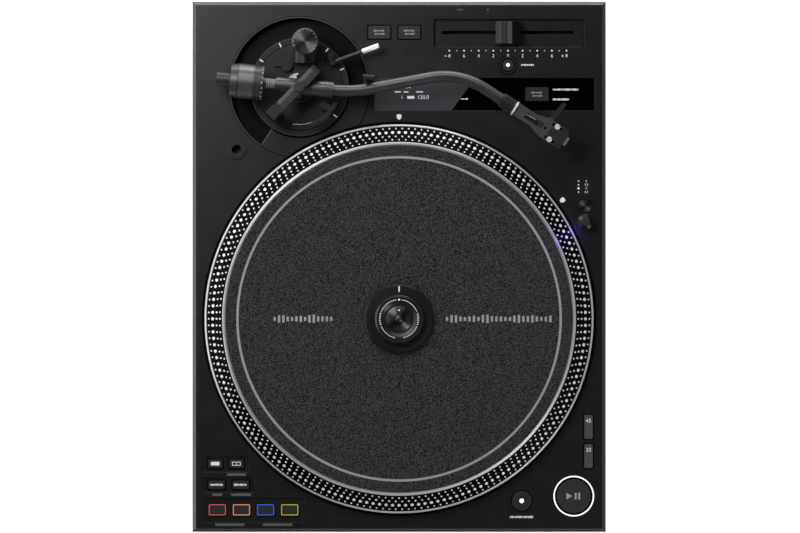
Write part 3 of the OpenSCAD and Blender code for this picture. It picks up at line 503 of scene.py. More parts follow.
def rounded(w, d, r, steps=6):
    """The outline of a rectangle with round corners, counter-clockwise, centred on 0, 0."""
    points = []
    for cx, cy, start in ((1, -1, -90), (1, 1, 0), (-1, 1, 90), (-1, -1, 180)):
        for i in range(steps + 1):
            a = math.radians(start + 90 * i / steps)
            points.append((cx * (w / 2 - r) + r * math.cos(a), cy * (d / 2 - r) + r * math.sin(a)))
    return points


def frame_ring(solids, x, y, w, d, r, line, z0, z1):
    """A thin frame round a rounded rectangle."""
    outer, inner = rounded(w, d, r), rounded(w - 2 * line, d - 2 * line, max(r - line, 0.1 * MM))
    n = len(outer)
    for i in range(n):
        j = (i + 1) % n
        corners = [inner[i], outer[i], outer[j], inner[j]]
        solids.prism([(x + px, y + py) for px, py in corners], z0, z1)
    return solids


# --- CAD nodes: finishes and shading ---

# Painted highlight stripes across the fader's cap: start and end in mm from its middle, and lightness
CAP_HIGHLIGHT_STRIPES = ((-10.6, -7.2, 0.4), (-7.2, -6, 0.7), (-6, -3.4, 0.2), (-3.2, -1.7, 0.9), (-0.6, 3.4, 0.65))
YOKE_ANGLE = math.radians(46)
NODE_SMOOTH_ANGLE = math.radians(28)


def fader_cap():
    """Moulded resin, with painted highlights on the cap's left flank and ridge, and painted shade, dark and dull,
    on its right side.
    """
    s = Shader("fader_cap", 0.42)
    x = s.math("SUBTRACT", s.axis(0), middle("fader_knob").x)
    # Painted highlights: lighter stripes over the lit left flank and ridge.
    tone = 0.0
    for start, end, level in CAP_HIGHLIGHT_STRIPES:
        highlight_stripe = s.band(x, start * MM, end * MM, 0.12 * MM)
        tone = s.math("MAXIMUM", tone, s.math("MULTIPLY", highlight_stripe, level))
    s.link(s.mix(tone, grey(0.003), grey(0.1)), "Base Color")
    # Painted shade: the gloss is turned down on the right side to keep it dark.
    s.link(s.span(x, 3.2 * MM, 3.6 * MM, 0.4, 0.04), "Specular IOR Level")
    s.satin(s.noise(1800, 2), 0.38, 0.46, 0.3, 0.03 * MM, 0.4 * MM)
    return s.mat


def yoke_paint():
    """Satin black with a painted highlight along the bevel on the far side, a dark end and a dark boss over the
    pivot.
    """
    s = Shader("yoke_paint", 0.4)
    across = s.along(arm_foot, (-math.sin(YOKE_ANGLE), math.cos(YOKE_ANGLE), 0))
    highlight_start, highlight_end, arm_start, arm_end, boss_r = 1.0 * MM, 9 * MM, -23 * MM, 18 * MM, 4.7 * MM
    bevel = s.band(across, highlight_start, highlight_end, 0.3 * MM)
    along = s.along(arm_foot, (math.cos(YOKE_ANGLE), math.sin(YOKE_ANGLE), 0))
    arm_part = s.band(along, arm_start, arm_end, 0.3 * MM)
    boss = s.band(s.radius_from(arm_pivot), -1.0, boss_r, 0.1 * MM)
    # Painted highlight: a lighter band along the far bevel, outside the boss.
    lit = s.math("MULTIPLY", s.math("MULTIPLY", bevel, arm_part), s.math("SUBTRACT", 1.0, boss))
    body = s.mix(arm_part, grey(0.003), grey(0.016))
    s.link(s.mix(lit, body, grey(0.075)), "Base Color")
    s.satin(s.noise(2200, 2), 0.36, 0.44, 0.3, 0.02 * MM, 0.5 * MM)
    return s.mat


def weight_finish():
    """Black turned metal: a lighter middle between two dark grooves, and a darker rear end."""
    s = Shader("weight_finish", 0.36, 0.8)
    back = s.math("ABSOLUTE", s.along(arm_pivot, arm_axis))
    rear_start, rear_end, front = 52.6 * MM, 61 * MM, 39.3 * MM
    rear = s.band(back, rear_start, rear_end, 0.3 * MM)
    rear_groove = s.band(back, rear_start - 0.4 * MM, rear_start + 0.1 * MM, 0.1 * MM)
    front_groove = s.band(back, front, front + 0.4 * MM, 0.1 * MM)
    body = s.mix(rear, grey(0.11), grey(0.06))
    s.link(s.mix(s.math("MAXIMUM", rear_groove, front_groove), body, grey(0.01)), "Base Color")
    s.satin(s.noise(2600, 2, (1, 6, 6)), 0.32, 0.42, 0.3, 0.015 * MM, 0.5 * MM)
    return s.mat


def shell_paint():
    """Grey headshell with a darker front block and finger lift."""
    s = Shader("shell_paint", 0.42, 0.3)
    across, along = s.along(shell_root, shell_side), s.along(shell_root, shell_axis)
    lift = s.span(s.math("ABSOLUTE", across), 9.2 * MM, 10.5 * MM)
    block_start, block_end, block_half, front_start = 49 * MM, 70 * MM, 4.2 * MM, 57.5 * MM
    block_long = s.band(along, block_start, block_end, 0.2 * MM)
    block_wide = s.band(across, -block_half, block_half, 0.2 * MM)
    front = s.span(along, front_start, front_start + 0.5 * MM)
    dark = s.math("MAXIMUM", s.math("MAXIMUM", lift, s.math("MULTIPLY", block_long, block_wide)), front)
    s.link(s.mix(dark, grey(0.05), grey(0.016)), "Base Color")
    s.satin(s.noise(2600, 2), 0.38, 0.46, 0.3, 0.02 * MM, 0.4 * MM)
    return s.mat


def socket_finish():
    """Bright sockets, with the mains inlet in black resin."""
    s = Shader("socket_finish", 0.3)
    openings = frame["record"]["physics"]["openings"]
    low, high = next(o["box_m"] for o in openings if o["name"] == "mains_inlet")
    inlet = s.band(s.axis(0), low[0] - 3 * MM, high[0] + 3 * MM, 0.2 * MM)
    s.link(s.mix(inlet, grey(0.62, 0.02), grey(0.012)), "Base Color")
    s.link(s.math("SUBTRACT", 1.0, inlet), "Metallic")
    s.satin(s.noise(900, 3), 0.24, 0.34, 0.3, 0.02 * MM, 0.3 * MM)
    return s.mat


OWN_FINISH = {
    "rear_sockets": socket_finish(),
    "speed_33_button": SPEED_GREY, "speed_45_button": SPEED_GREY, "fader_knob": fader_cap(),
    "gimbal_ring": SATIN_BLACK, "start_button": START_GREY,
    "gimbal_yoke": yoke_paint(), "counterweight": weight_finish(), "headshell": shell_paint(),
    "spindle": SPUN_BLACK, "power_dial": KNOB_BLACK, "stylus_lamp": LAMP_BLACK,
}


def finish_cad_nodes():
    """Gives each carried-over CAD node its finish, and smooth shading over shallow edges."""
    for entry in frame["record"]["subparts"]:
        node = frame["nodes"][entry["node"]]
        node.data.materials.clear()
        node.data.materials.append(OWN_FINISH.get(entry["node"]) or MATERIALS[entry["material_slot"]])
        node.data.polygons.foreach_set("use_smooth", [True] * len(node.data.polygons))
        node.data.set_sharp_from_angle(angle=NODE_SMOOTH_ANGLE)


# --- platter ---

# Rows of dots on the rim: radius, count and size of a dot, with lengths in mm
DOT_ROWS = ((152.9, 168, 0.75), (155.7, 174, 0.85), (159.1, 180, 1.4), (162.5, 186, 0.75))
# The outline of one dot at its foot, shoulder and flat top: share of its size, and height in mm
DOT_RINGS = ((1.0, -0.15), (1.0, 0.12), (0.72, 0.3))
DOT_SIDES = 10
# Level bars on the slipmat: name, first x and last x in mm, and count
BAR_GROUPS = (("mat_bars_left", -108, -56, 14), ("mat_bars_right", 39, 131, 24))


def strobe_dots():
    """Four rows of raised polished dots on the sloping rim."""
    inner_r, outer_r = 151 * MM, 164 * MM
    high = platter_top - 0.4 * MM
    low = deck_top + 8 * MM
    slope = math.atan2(high - low, outer_r - inner_r)
    corners = [2 * math.pi * k / DOT_SIDES for k in range(DOT_SIDES)]
    last = (len(DOT_RINGS) - 1) * DOT_SIDES
    verts, faces = [], []
    for radius, count, size in DOT_ROWS:
        drop = high - (radius * MM - inner_r) * math.tan(slope)
        for i in range(count):
            turn = Matrix.Rotation(2 * math.pi * i / count, 4, "Z")
            place = (Matrix.Translation(platter_foot) @ turn
                     @ Matrix.Translation((radius * MM, 0, drop)) @ Matrix.Rotation(slope, 4, "Y"))
            start = len(verts)
            for share, rise in DOT_RINGS:
                r = size * share * MM
                verts += [place @ Vector((r * math.cos(a), r * math.sin(a), rise * MM)) for a in corners]
            for ring in range(start, start + last, DOT_SIDES):
                for k in range(DOT_SIDES):
                    m = (k + 1) % DOT_SIDES
                    faces.append([ring + k, ring + m, ring + DOT_SIDES + m, ring + DOT_SIDES + k])
            faces.append([start + k for k in reversed(range(DOT_SIDES))])
            faces.append([start + last + k for k in range(DOT_SIDES)])
    piece = add_mesh("strobe_dots", verts, faces, "platter", DOT_METAL, 60)


def slipmat():
    """A felt disc with a soft rolled edge, lying in the platter's recess."""
    thick = mat_high.z - mat_low.z
    hole, flat_r, rings = 3.8 * MM, mat_r - 0.8 * MM, 60
    ripple_high, ripple_pitch = 0.05 * MM, 310
    profile = []
    for i in range(rings + 1):
        r = hole + (flat_r - hole) * i / rings
        ripple = ripple_high * math.sin(r * ripple_pitch) - 0.05 * MM
        profile.append((r, thick + ripple))
    profile += [(mat_r - 0.25 * MM, thick * 0.85), (mat_r - 0.05 * MM, thick * 0.5)]
    profile += [(mat_r - 0.3 * MM, 0.1 * MM), (hole, 0.1 * MM)]
    centre = (platter_mid.x, platter_mid.y, mat_low.z)
    piece = lathe("slipmat_cloth", profile, centre, "platter", MATERIALS["mat_felt"], steps=180, smooth=50)
    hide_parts("slipmat")


def mat_marks():
    """Two groups of plain level bars on the slipmat."""
    z0, z1 = mat_high.z - 0.06 * MM, mat_high.z + 0.02 * MM
    least, swell = 3.2, 4.2
    for name, start, end, count in BAR_GROUPS:
        bars = Solids()
        pitch = (end - start) / count
        for i in range(count):
            x = start + pitch * (i + 0.5)
            height = least + swell * abs(math.sin(i * 0.9) * math.cos(i * 0.37))
            bars.box(x * MM, platter_mid.y, pitch * 0.55 * MM, height * MM, z0, z1)
        piece = bars.make(name, "platter", MAT_INK)


def clamp_details():
    """The clamp's spun disc and bevel, the marks on its knob and the tick on its base."""
    top = top_of("clamp_knob")
    face = top - 1.2 * MM
    bore, disc_r = 4.1 * MM, 11 * MM
    profile = [(bore, face - 0.2 * MM), (disc_r, face - 0.2 * MM), (disc_r, face + 0.35 * MM),
               (disc_r - 0.4 * MM, face + 0.6 * MM), (bore, face + 0.6 * MM)]
    disc = lathe("clamp_disc", profile, platter_foot, "clamp_knob", SPUN_BLACK)
    profile = [(18.9 * MM, top - 0.2 * MM), (20.3 * MM, top - 1.2 * MM), (20.1 * MM, top - 1.35 * MM),
               (18.9 * MM, top - 0.6 * MM)]
    bevel = lathe("clamp_bevel", profile, platter_foot, "clamp_knob", SATIN_BLACK)
    marks = Solids()
    z = (top - 0.3 * MM, top + 0.02 * MM)
    for start, end in ((97, 158), (202, 258), (22, 83), (-78, -22)):
        marks.arc(platter_foot, 16.2 * MM, 16.65 * MM, start, end, *z, 24)
    marks.disc(platter_mid.x, platter_mid.y + 16.4 * MM, 0.9 * MM, *z)
    for side in (0, 180):
        for k in range(-3, 4):
            a = side + 5.5 * k
            marks.arc(platter_foot, 15.7 * MM, 17.1 * MM, a - 1.1, a + 1.1, *z, 2)
    marks.disc(platter_mid.x, platter_mid.y + 7.5 * MM, 0.8 * MM, face + 0.55 * MM, face + 0.66 * MM)
    marks.make("clamp_knob_marks", "clamp_knob", WHITE_INK_PAINTED_GLOW)
    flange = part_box("clamp_base")[0].z + 5 * MM
    z = (flange - 0.2 * MM, flange + 0.03 * MM)
    tick = Solids().box(platter_mid.x, platter_mid.y + 25.5 * MM, 1.1 * MM, 5 * MM, *z)
    tick.make("clamp_base_tick", "clamp_base", WHITE_INK_PAINTED_GLOW)


# --- deck ---

# Two small marks at the deck's rear edge
REAR_BAR_X, REAR_DOT_X, REAR_MARK_Y = 51.8 * MM, 75.8 * MM, 219.5 * MM
STROBE_NUMBERS = ("3.3", "0", "3.3", "6")
SOFT_CORNERED = ("step_button", "range_button", "needle_button", "speed_33_button", "speed_45_button")
SMALL_BUTTONS = ("shift_button", "grid_button", "cue_button", "sample_button")
PAD_GLOWS = (
    ("pad_1", "pad_red", (0.42, 0.05, 0.07)),
    ("pad_2", "pad_orange", (0.5, 0.2, 0.09)),
    ("pad_3", "pad_blue", (0.02, 0.08, 0.5)),
    ("pad_4", "pad_yellow", (0.3, 0.28, 0.03)),
)


def deck_print():
    """The fader's scale and numbers, the strobe lamp's numbers, and plain label strokes on the deck."""
    z0, z1 = printed(deck_top)
    white, dim = Solids(), Solids()
    knob = middle("fader_knob")
    step, half_count = 6.25 * MM, 8
    scale_y, number_y = knob.y - 15.5 * MM, knob.y - 20 * MM
    for i in range(-half_count, half_count + 1):
        size = 0.75 if i % 2 == 0 else 0.45
        white.disc(knob.x + i * step, scale_y, size * MM, z0, z1, 12)
    for i in range(-half_count, half_count + 1, 2):
        name = f"pitch_number_{i + half_count}"
        digits(name, str(abs(i)), 3.9 * MM, knob.x + i * step, number_y, z1, "root", WHITE_INK_PAINTED_GLOW)
    end, long, thin = half_count * step + 3.3 * MM, 1.9 * MM, 0.5 * MM
    plus = knob.x + end - 6.6 * MM
    white.box(knob.x - end, number_y, long, thin, z0, z1)
    white.box(plus, number_y, long, thin, z0, z1)
    white.box(plus, number_y, thin, long, z0, z1)
    reset, motor = middle("reset_button"), middle("motor_button")
    strokes(white, reset.x + 16.9 * MM, reset.y, 11.5 * MM, 1.7 * MM, z0, z1, 3)
    strokes(white, motor.x, motor.y - 13.8 * MM, 20 * MM, 1.9 * MM, z0, z1, 4)
    shift, pads = middle("shift_button"), middle("pad_1")
    for x, y, w in ((18.2, -9.3, 15.9), (1.6, -26.5, 8.3), (22.1, -26.5, 17)):
        dim.box(shift.x + x * MM, shift.y + y * MM, w * MM, 2.1 * MM, z0, z1)
    for x in (10.6, 51.5):
        dim.box(pads.x + x * MM, pads.y - 12.7 * MM, 25 * MM, 2.1 * MM, z0, z1)
    dim.box(REAR_BAR_X, REAR_MARK_Y, 5 * MM, 1 * MM, z0, z1)
    dim.disc(REAR_DOT_X, REAR_MARK_Y, 0.8 * MM, z0, z1)
    lamp = middle("stylus_lamp")
    for i, text in enumerate(STROBE_NUMBERS):
        y = lamp.y + (12 + 3.1 * i) * MM
        white.disc(lamp.x - 5.6 * MM, y, (1.0 if i == 1 else 0.6) * MM, z0, z1, 14)
        digits(f"strobe_number_{i}", text, 2.6 * MM, lamp.x + 1 * MM, y, z1, "root", WHITE_INK_PAINTED_GLOW)
    white.make("deck_print_white", "root", WHITE_INK_PAINTED_GLOW)
    dim.make("deck_print_grey", "root", GREY_INK)


def fader_trim():
    """A dark line round the fader's recess, with a light lip on its front and right sides."""
    knob = middle("fader_knob")
    x, y, w, d = knob.x + 0.6 * MM, knob.y - 0.3 * MM, 126.8 * MM, 22.2 * MM
    z0, z1 = printed(deck_top)
    dark = frame_ring(Solids(), x, y, w + 1.6 * MM, d + 1.6 * MM, 1.6 * MM, 0.75 * MM, z0, z1)
    dark.make("fader_outline", "root", GAP_BLACK)
    away, thin, top = 1.0 * MM, 0.35 * MM, z1 + 0.02 * MM
    lip = Solids().box(x, y - d / 2 - away, w - 2 * MM, thin, z0, top)
    lip.box(x + w / 2 + away, y, thin, d - 2 * MM, z0, top)
    lip.make("fader_lip", "root", LIP_GREY)


def shield_marks():
    """Two small shield-shaped marks that point at the platter."""
    z0, z1 = deck_top - 0.02 * MM, deck_top + 0.04 * MM
    right = [(0, -3.1), (1.6, -2.2), (2.6, -0.4), (2.5, 2.4), (0, 3.0)]
    left = [(-2.5, 2.4), (-2.6, -0.4), (-1.6, -2.2)]
    reach, size = 172.4 * MM, 0.8 * MM
    marks = Solids()
    for angle in (90, 36):
        a = math.radians(angle)
        spot = (platter_mid.x + reach * math.cos(a), platter_mid.y + reach * math.sin(a), 0)
        place = Matrix.Translation(spot) @ Matrix.Rotation(a - math.pi / 2, 4, "Z")
        marks.prism([(x * size, y * size) for x, y in left + right], z0, z1, place)
    marks.make("aim_marks", "root", WHITE_INK_PAINTED_GLOW)


def dish_trim():
    """The lip round the tonearm's dish and the seam outside it."""
    top = deck_top + 0.02 * MM
    lip_end, reach = 237, 50.5 * MM
    lip = Solids()
    z = (deck_top - 0.5 * MM, deck_top + 0.3 * MM)
    lip.arc(arm_foot, dish_r + 0.1 * MM, dish_r + 0.9 * MM, -6, lip_end, *z, 90)
    edge = math.radians(lip_end)
    lip.box(arm_foot[0] + reach * math.cos(edge), arm_foot[1] + reach * math.sin(edge), 15 * MM, 1.3 * MM,
            deck_top - 0.4 * MM, top, edge)
    lip.make("dish_lip", "root", LIP_GREY)
    z = (deck_top - 0.02 * MM, top)
    seam = Solids().arc(arm_foot, dish_r + 0.95 * MM, dish_r + 1.6 * MM, -60, 300, *z, 120)
    seam.make("dish_seam", "root", GAP_BLACK)


def lit_controls():
    """The start button's ring and icon, the small lights, and the speed buttons' numbers."""
    start = middle("start_button")
    z0, z1 = deck_top - 0.05 * MM, deck_top + 0.25 * MM
    ring = Solids().arc((start.x, start.y), 16.2 * MM, 17.4 * MM, 0, 360, z0, z1, 72)
    ring.make("start_ring", "root", GLOW_WHITE)
    z0, z1 = printed(top_of("start_button"))
    base, tip, half = start.x - 6.4 * MM, start.x - 1.4 * MM, 3 * MM
    icon = Solids().prism([(base, start.y - half), (tip, start.y), (base, start.y + half)], z0, z1)
    for x in (1.6, 4.6):
        icon.box(start.x + x * MM, start.y, 1.7 * MM, 5.8 * MM, z0, z1)
    icon.make("start_icon", "start_button", SOFT_INK_PAINTED_GLOW)
    for name, size in (("motor_button", 2.0), ("reset_button", 1.6)):
        spot, z = middle(name), top_of(name)
        dot = Solids().disc(spot.x, spot.y, size * MM, z - 0.05 * MM, z + 0.08 * MM, 24)
        dot.make(name + "_light", name, GLOW_WHITE)
    for name, text in (("speed_45_button", "45"), ("speed_33_button", "33")):
        spot = middle(name)
        digits(name + "_number", text, 4.7 * MM, spot.x, spot.y + 5.2 * MM, top_of(name), name, WHITE_INK_PAINTED_GLOW)


def pad_rims():
    """A lit coloured frame on each pad."""
    for name, slot, colour in PAD_GLOWS:
        spot, z = middle(name), top_of(name)
        w, d, corner, line = 14.6 * MM, 9.5 * MM, 1.1 * MM, 0.75 * MM
        rim = frame_ring(Solids(), spot.x, spot.y, w, d, corner, line, z - 0.05 * MM, z + 0.15 * MM)
        rim.make(name + "_rim", name, glowing(name + "_glow", colour, 0.6))


def strokes(solids, x, y, wide, tall, z0, z1, seed=1):
    """A row of short plain strokes, as wide as a label would be."""
    pick = random.Random(seed)
    gap, least = 0.35 * MM, 0.6 * MM
    at = x - wide / 2
    while at < x + wide / 2 - least:
        w = pick.choice((0.5, 0.9, 1.3)) * MM
        h = tall * pick.choice((0.7, 1.0, 1.0))
        solids.box(at + w / 2, y, w, h, z0, z1)
        at += w + gap
    return solids


def button_labels():
    """Short plain strokes on each labelled button, and icons on two."""
    for name in ("step_button", "range_button", "needle_button"):
        spot, bars = middle(name), Solids()
        for y, w in ((1.35, 9.6), (-1.35, 7.4)):
            strokes(bars, spot.x, spot.y + y * MM, w * MM, 1.5 * MM, *printed(top_of(name)), int(w * 10))
        bars.make(name + "_label", name, SOFT_INK_PAINTED_GLOW)
    for name in ("cue_button", "sample_button"):
        spot, bar = middle(name), Solids()
        strokes(bar, spot.x, spot.y, 11.4 * MM, 1.8 * MM, *printed(top_of(name)), len(name))
        bar.make(name + "_label", name, WHITE_INK_PAINTED_GLOW)
    for name, w, d in (("shift_button", 6.6, 2.0), ("grid_button", 0.5, 3.0)):
        spot, (z0, z1) = middle(name), printed(top_of(name))
        mark = frame_ring(Solids(), spot.x, spot.y, 7.4 * MM, 3.2 * MM, 0.5 * MM, 0.5 * MM, z0, z1)
        mark.box(spot.x, spot.y, w * MM, d * MM, z0, z1)
        mark.make(name + "_label", name, WHITE_INK_PAINTED_GLOW)


def screen():
    """Digits and bars behind the window, and the touch marks beside them."""
    z0, z1 = deck_top - 0.06 * MM, deck_top - 0.02 * MM
    lilac = glowing("screen_lilac", (0.55, 0.5, 0.62), 0.55)
    y = middle("display_window").y - 2.6 * MM
    digits("screen_deck", "1", 4.2 * MM, 2.5 * MM, y, z1, "root", lilac)
    digits("screen_tempo", "120.0", 4.6 * MM, 20.5 * MM, y, z1, "root", lilac)
    bars = Solids().box(10 * MM, y, 6 * MM, 2.4 * MM, z0, z1)
    for i in range(9):
        h = 1 + 2.2 * abs(math.sin(i * 1.3))
        bars.box((-2 + 1.4 * i) * MM, y + 9.2 * MM, 0.7 * MM, h * MM, z0, z1)
    for x, w in ((-1, 5), (6, 4), (17.5, 6)):
        bars.box(x * MM, y + 4.6 * MM, w * MM, 0.9 * MM, z0, z1)
    bars.make("screen_bars", "root", lilac)
    marks = Solids()
    needle, slider_x = middle("needle_button"), 56 * MM
    for dy, w in ((4.0, 22), (-4.4, 14)):
        strokes(marks, needle.x + (13.5 + w / 2) * MM, needle.y + dy * MM, w * MM, 1.8 * MM, z0, z1, w)
    strokes(marks, slider_x, y + 12 * MM, 10 * MM, 1.0 * MM, z0, z1, 5)
    strokes(marks, slider_x, y - 1.4 * MM, 6.5 * MM, 1.2 * MM, z0, z1, 6)
    marks.make("window_marks", "root", WHITE_INK_PAINTED_GLOW)


# --- tonearm ---

# Each lead's name, its colour and its place across the headshell in mm
LEADS = (
    ("red", (0.35, 0.03, 0.02), -4.5),
    ("white", (0.6, 0.6, 0.58), -1.5),
    ("blue", (0.03, 0.06, 0.3), 1.5),
    ("green", (0.03, 0.2, 0.06), 4.5),
)
# The leads' route: along the shell in mm, share of the place across, and height in mm
LEAD_ROUTE = ((20.5, 0.25, -2.6), (24, 0.45, -0.8), (28, 0.75, -2.2), (32, 0.95, -5.2), (35.4, 1.0, -6.0))


def height_scale():
    """Ticks and rings on the height ring's top edge."""
    z0, z1 = printed(top_of("height_ring"))
    tick_count, first, pitch, half = 7, 145.3, 30.7, 0.8
    ticks = Solids()
    for i in range(tick_count):
        a = first - pitch * i
        ticks.arc(arm_foot, 37.4 * MM, 41.2 * MM, a - half, a + half, z0, z1, 2)
    ticks.make("height_ticks", "height_ring", WHITE_INK_PAINTED_GLOW)
    ring_r = half_size("height_ring").x
    rim = Solids().arc(arm_foot, ring_r - 0.9 * MM, ring_r - 0.45 * MM, 0, 360, z0, z1, 120)
    rim.make("height_ring_rim", "height_ring", LIP_GREY)
    gap = Solids().arc(arm_foot, 37.0 * MM, 37.35 * MM, 0, 360, z0, z1, 120)
    gap.make("height_ring_gap", "height_ring", GAP_BLACK)


def pivot_disc():
    """A polished quarter disc beside the gimbal, a painted highlight, the dark ring round it, and a bright steel
    arc on the base's edge, also a painted highlight.
    """
    disc_r, ring_r, highlight_r = 12.2 * MM, 13.6 * MM, 31.8 * MM
    top, line = deck_top + 11 * MM, deck_top + 5.0 * MM
    # Painted highlight: bright steel only over the quarter that faces the key light.
    disc = Solids().arc(arm_foot, 6.5 * MM, disc_r, 95, 182, top, top + 1.2 * MM, 40)
    disc.make("pivot_disc", "arm_base", BRIGHT_STEEL)
    ring = Solids().arc(arm_foot, disc_r, ring_r, 0, 360, line + 0.2 * MM, top + 1.5 * MM, 60)
    ring.make("pivot_ring", "arm_base", SATIN_BLACK)
    z = (line - 0.1 * MM, line + 0.25 * MM)
    # Painted highlight: a bright steel arc along part of the base's edge.
    edge = Solids().arc(arm_foot, highlight_r, highlight_r + 0.45 * MM, -100, -38, *z, 30)
    edge.make("base_bright_edge", "arm_base", BRIGHT_STEEL)


def bar_round(solids, start, axis, r, angle, long, wide, high):
    """A small bar lying along an axis on a cylinder of radius r; angle is in degrees from the side."""
    across = axis.cross(UP).normalized()
    out = Matrix.Rotation(math.radians(angle), 3, axis) @ across
    sideways = axis.cross(out)
    first = len(solids.verts)
    for rise in (-0.3 * MM, high):
        for along, side in ((0, -wide / 2), (long, -wide / 2), (long, wide / 2), (0, wide / 2)):
            solids.verts.append(start + out * (r + rise) + axis * along + sideways * side)
    sides = ((3, 2, 1, 0), (4, 5, 6, 7), (0, 1, 5, 4), (1, 2, 6, 5), (2, 3, 7, 6), (3, 0, 4, 7))
    solids.faces += [[first + k for k in side] for side in sides]


def arm_marks():
    """Dots on the anti-skate dial, ticks on the force dial and rear shaft, and the lock nut's ribs."""
    centre, top = middle("anti_skate_dial"), top_of("anti_skate_dial")
    r = half_size("anti_skate_dial").x - 1.5 * MM
    dots = Solids()
    for i in range(14):
        a = math.radians(-60 + 20 * i)
        x, y = centre.x + r * math.cos(a), centre.y + r * math.sin(a)
        dots.disc(x, y, 0.28 * MM, top - 0.3 * MM, top + 0.03 * MM, 8)
    dots.make("skate_dots", "anti_skate_dial", WHITE_INK_PAINTED_GLOW)
    back = arm_axis if arm_axis.x < 0 else -arm_axis
    front = arm_pivot + back * ((arm_pivot - middle("force_dial")).length - 3.2 * MM)
    dial_r = half_size("force_dial").z - 0.05 * MM
    ticks = Solids()
    for i in range(20):
        long = 1.7 * MM if i % 5 == 0 else 1.0 * MM
        bar_round(ticks, front, back, dial_r, 18 * i, long, 0.4 * MM, 0.12 * MM)
    ticks.make("force_ticks", "force_dial", WHITE_INK_PAINTED_GLOW)
    ribs, nut_start = Solids(), shell_root + shell_axis * 3.2 * MM
    for i in range(24):
        bar_round(ribs, nut_start, shell_axis, 6.3 * MM, 15 * i, 7.6 * MM, 0.7 * MM, 0.3 * MM)
    ribs.make("lock_nut_ribs", "lock_nut", SATIN_BLACK)
    shaft = Solids()
    for i in range(5):
        at = arm_pivot + back * (21.5 + 1.5 * i) * MM
        for turn in (-115, -90, -65):
            bar_round(shaft, at, back, 4.9 * MM, turn, 0.5 * MM, 2.0 * MM, 0.12 * MM)
    shaft.make("shaft_scale", "arm", SOFT_INK_PAINTED_GLOW)


def lead_wires():
    """Four fine leads from the headshell's plug to the cartridge pins."""
    for name, colour, y in LEADS:
        material = grained("lead_" + name, colour, 0.45, grain=900, depth=0.01)
        points = []
        for x, share, z in LEAD_ROUTE:
            along = shell_root + shell_axis * x * MM
            points.append(along + shell_side * (y * share) * MM + Vector((0, 0, z * MM)))
        wire = tube("lead_" + name + "_wire", points, 0.45 * MM, "arm", material)


def bright_trims():
    """The silver ring behind the headshell and the cue lever's polished grip."""
    start, end = 13.3 * MM, 14.9 * MM
    inner, outer = 5.65 * MM, 6.5 * MM
    profile = [(inner, start), (outer, start), (outer, end), (inner, end)]
    ring = lathe("shell_ring", profile, shell_root, "arm", BRIGHT_STEEL, axis=shell_axis, steps=48)
    lever = joint("cue_lever_turn")
    hinge, across = Vector(lever["pos_m"]), Vector(lever["axis"])
    rise = math.radians(6)
    along = Vector((-across.y, across.x, 0)).normalized() * math.cos(rise) + UP * math.sin(rise)
    foot = hinge + across * 1.2 * MM
    profile = [(0.1 * MM, 27 * MM), (2.2 * MM, 27.4 * MM), (2.3 * MM, 41.5 * MM), (1.8 * MM, 42.4 * MM),
               (0.1 * MM, 42.6 * MM)]
    grip = lathe("cue_grip", profile, foot, "cue_lever", BRIGHT_STEEL, axis=along, steps=24)


def button_gaps():
    """The dark gaps round the buttons on the deck."""
    gaps = Solids()
    z0, z1 = deck_top - 0.02 * MM, deck_top + 0.025 * MM
    flange, margin, line = 1.2 * MM, 2.0 * MM, 0.7 * MM
    for names, corner in ((SOFT_CORNERED, 1.2 * MM), (SMALL_BUTTONS, 1.0 * MM)):
        for name in names:
            spot, half = middle(name), half_size(name)
            w, d = 2 * (half.x - flange) + margin, 2 * (half.y - flange) + margin
            frame_ring(gaps, spot.x, spot.y, w, d, corner, line, z0, z1)
    for name, wide in (("start_button", 1.6 * MM), ("motor_button", 0.9 * MM), ("reset_button", 0.9 * MM)):
        spot, r = middle(name), half_size(name).x - flange
        gaps.arc((spot.x, spot.y), r + 0.3 * MM, r + wide, 0, 360, z0, z1, 48)
    spot = middle("reset_button")
    z = printed(top_of("reset_button"))
    ring = Solids().arc((spot.x, spot.y), 4.9 * MM, 6.3 * MM, 0, 360, *z, 48)
    ring.make("reset_ring", "reset_button", GAP_BLACK)
    gaps.make("button_gaps", "root", GAP_BLACK)


# --- stage ---

# Soft studio lights: name, place, aim, size and power
LIGHTS = (
    ("key", (-0.38, 0.44, 0.95), (-0.2, 0.22, 0.1), (0.35, 0.35), 4.0),
    ("left_strip", (-1.1, 0.1, 0.15), (0, 0.1, 0.12), (1.3, 0.14), 4.2),
    ("rear_strip", (-0.1, 1.2, 0.15), (-0.1, 0, 0.12), (1.3, 0.14), 7.5),
    ("lower_right", (0.62, -0.64, 1.0), (0.11, -0.12, 0.11), (0.3, 0.3), 3.2),
    ("left_box", (-1.1, 0.1, 1.15), (0, 0, 0.1), (1.2, 0.25), 4),
    ("rear_box", (0, 1.15, 1.15), (0, 0, 0.1), (1.2, 0.25), 6),
)
# The sky's brightness falls from the horizon to the zenith, between these heights of the view direction
SKY_HEIGHTS, SKY_STRENGTHS = (0.25, 0.95), (0.3, 0.03)
WHITE = (1, 1, 1)


def stage():
    """A plain pale floor just under the feet."""
    half, level = 3.0, -0.0002
    corners = [(-half, -half, level), (half, -half, level), (half, half, level), (-half, half, level)]
    mesh = bpy.data.meshes.new("floor")
    mesh.from_pydata(corners, [], [(0, 1, 2, 3)])
    pale = Shader("floor_pale", 0.9, 0.0, 0.1)
    pale.link(pale.mix(pale.noise(3, 2), grey(0.86), grey(0.9)), "Base Color")
    pale.glow(WHITE, 0.8)
    mesh.materials.append(pale.mat)
    new_object("floor", mesh)


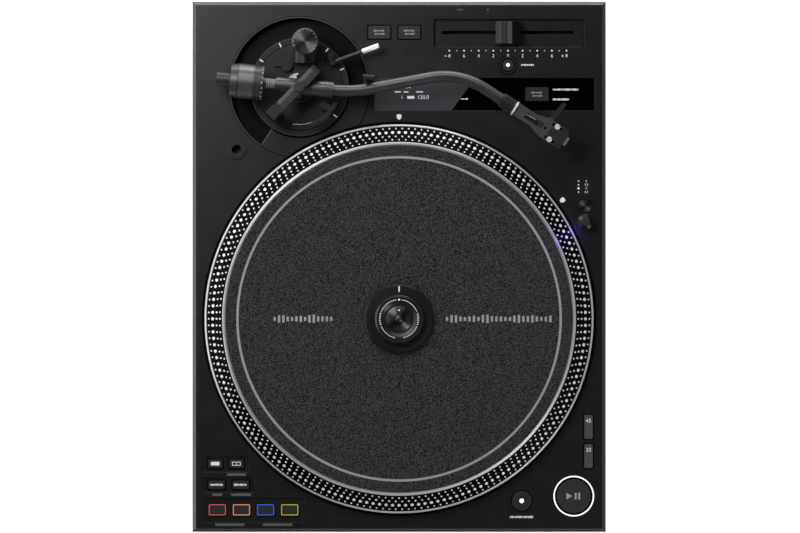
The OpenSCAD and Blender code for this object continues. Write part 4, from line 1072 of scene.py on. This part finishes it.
def area_light(name, place, aim, size, power, colour=WHITE):
    data = bpy.data.lights.new(name, "AREA")
    data.shape = "RECTANGLE"
    data.size, data.size_y = size
    data.energy = power
    data.color = colour
    lamp = new_object(name, data)
    lamp.location = place
    lamp.rotation_mode = "QUATERNION"
    lamp.rotation_quaternion = (Vector(aim) - Vector(place)).to_track_quat("-Z", "Y")


def lights():
    """Soft boxes, the stylus lamp's faint blue glow on the platter, and a sky that is darker overhead."""
    for light in LIGHTS:
        area_light(*light)
    lamp = middle("stylus_lamp")
    place = (lamp.x - 12.5 * MM, lamp.y - 23 * MM, deck_top + 24 * MM)
    aim = (lamp.x - 20 * MM, lamp.y - 32 * MM, deck_top + 8 * MM)
    area_light("lamp_glow", place, aim, (0.003, 0.003), 0.0035, (0.16, 0.1, 1.0))
    world = bpy.data.worlds.new("studio")
    bpy.context.scene.world = world
    world.use_nodes = True
    tree = world.node_tree
    sky = tree.nodes["Background"]
    direction = tree.nodes.new("ShaderNodeTexCoord").outputs["Generated"]
    split = tree.nodes.new("ShaderNodeSeparateXYZ")
    fade = tree.nodes.new("ShaderNodeMapRange")
    fade.inputs["From Min"].default_value, fade.inputs["From Max"].default_value = SKY_HEIGHTS
    fade.inputs["To Min"].default_value, fade.inputs["To Max"].default_value = SKY_STRENGTHS
    tree.links.new(direction, split.inputs[0])
    tree.links.new(split.outputs[2], fade.inputs["Value"])
    sky.inputs[0].default_value = (*WHITE, 1)
    tree.links.new(fade.outputs[0], sky.inputs[1])
    bpy.context.scene.view_settings.view_transform = "Standard"


def camera():
    """Straight above the middle of the deck, through a very long lens."""
    view_width = 0.6832
    data = bpy.data.cameras.new("camera")
    data.lens = 900
    data.sensor_width = 36
    data.clip_start, data.clip_end = 0.1, 100
    distance = view_width * data.lens / data.sensor_width
    eye = new_object("camera", data)
    eye.location = (0.0008, 0.0002, deck_top + distance)
    bpy.context.scene.camera = eye


finish_cad_nodes()
strobe_dots()
slipmat()
mat_marks()
clamp_details()
deck_print()
fader_trim()
shield_marks()
dish_trim()
lit_controls()
pad_rims()
button_labels()
screen()
height_scale()
pivot_disc()
lead_wires()
bright_trims()
button_gaps()
arm_marks()
stage()
lights()
camera()
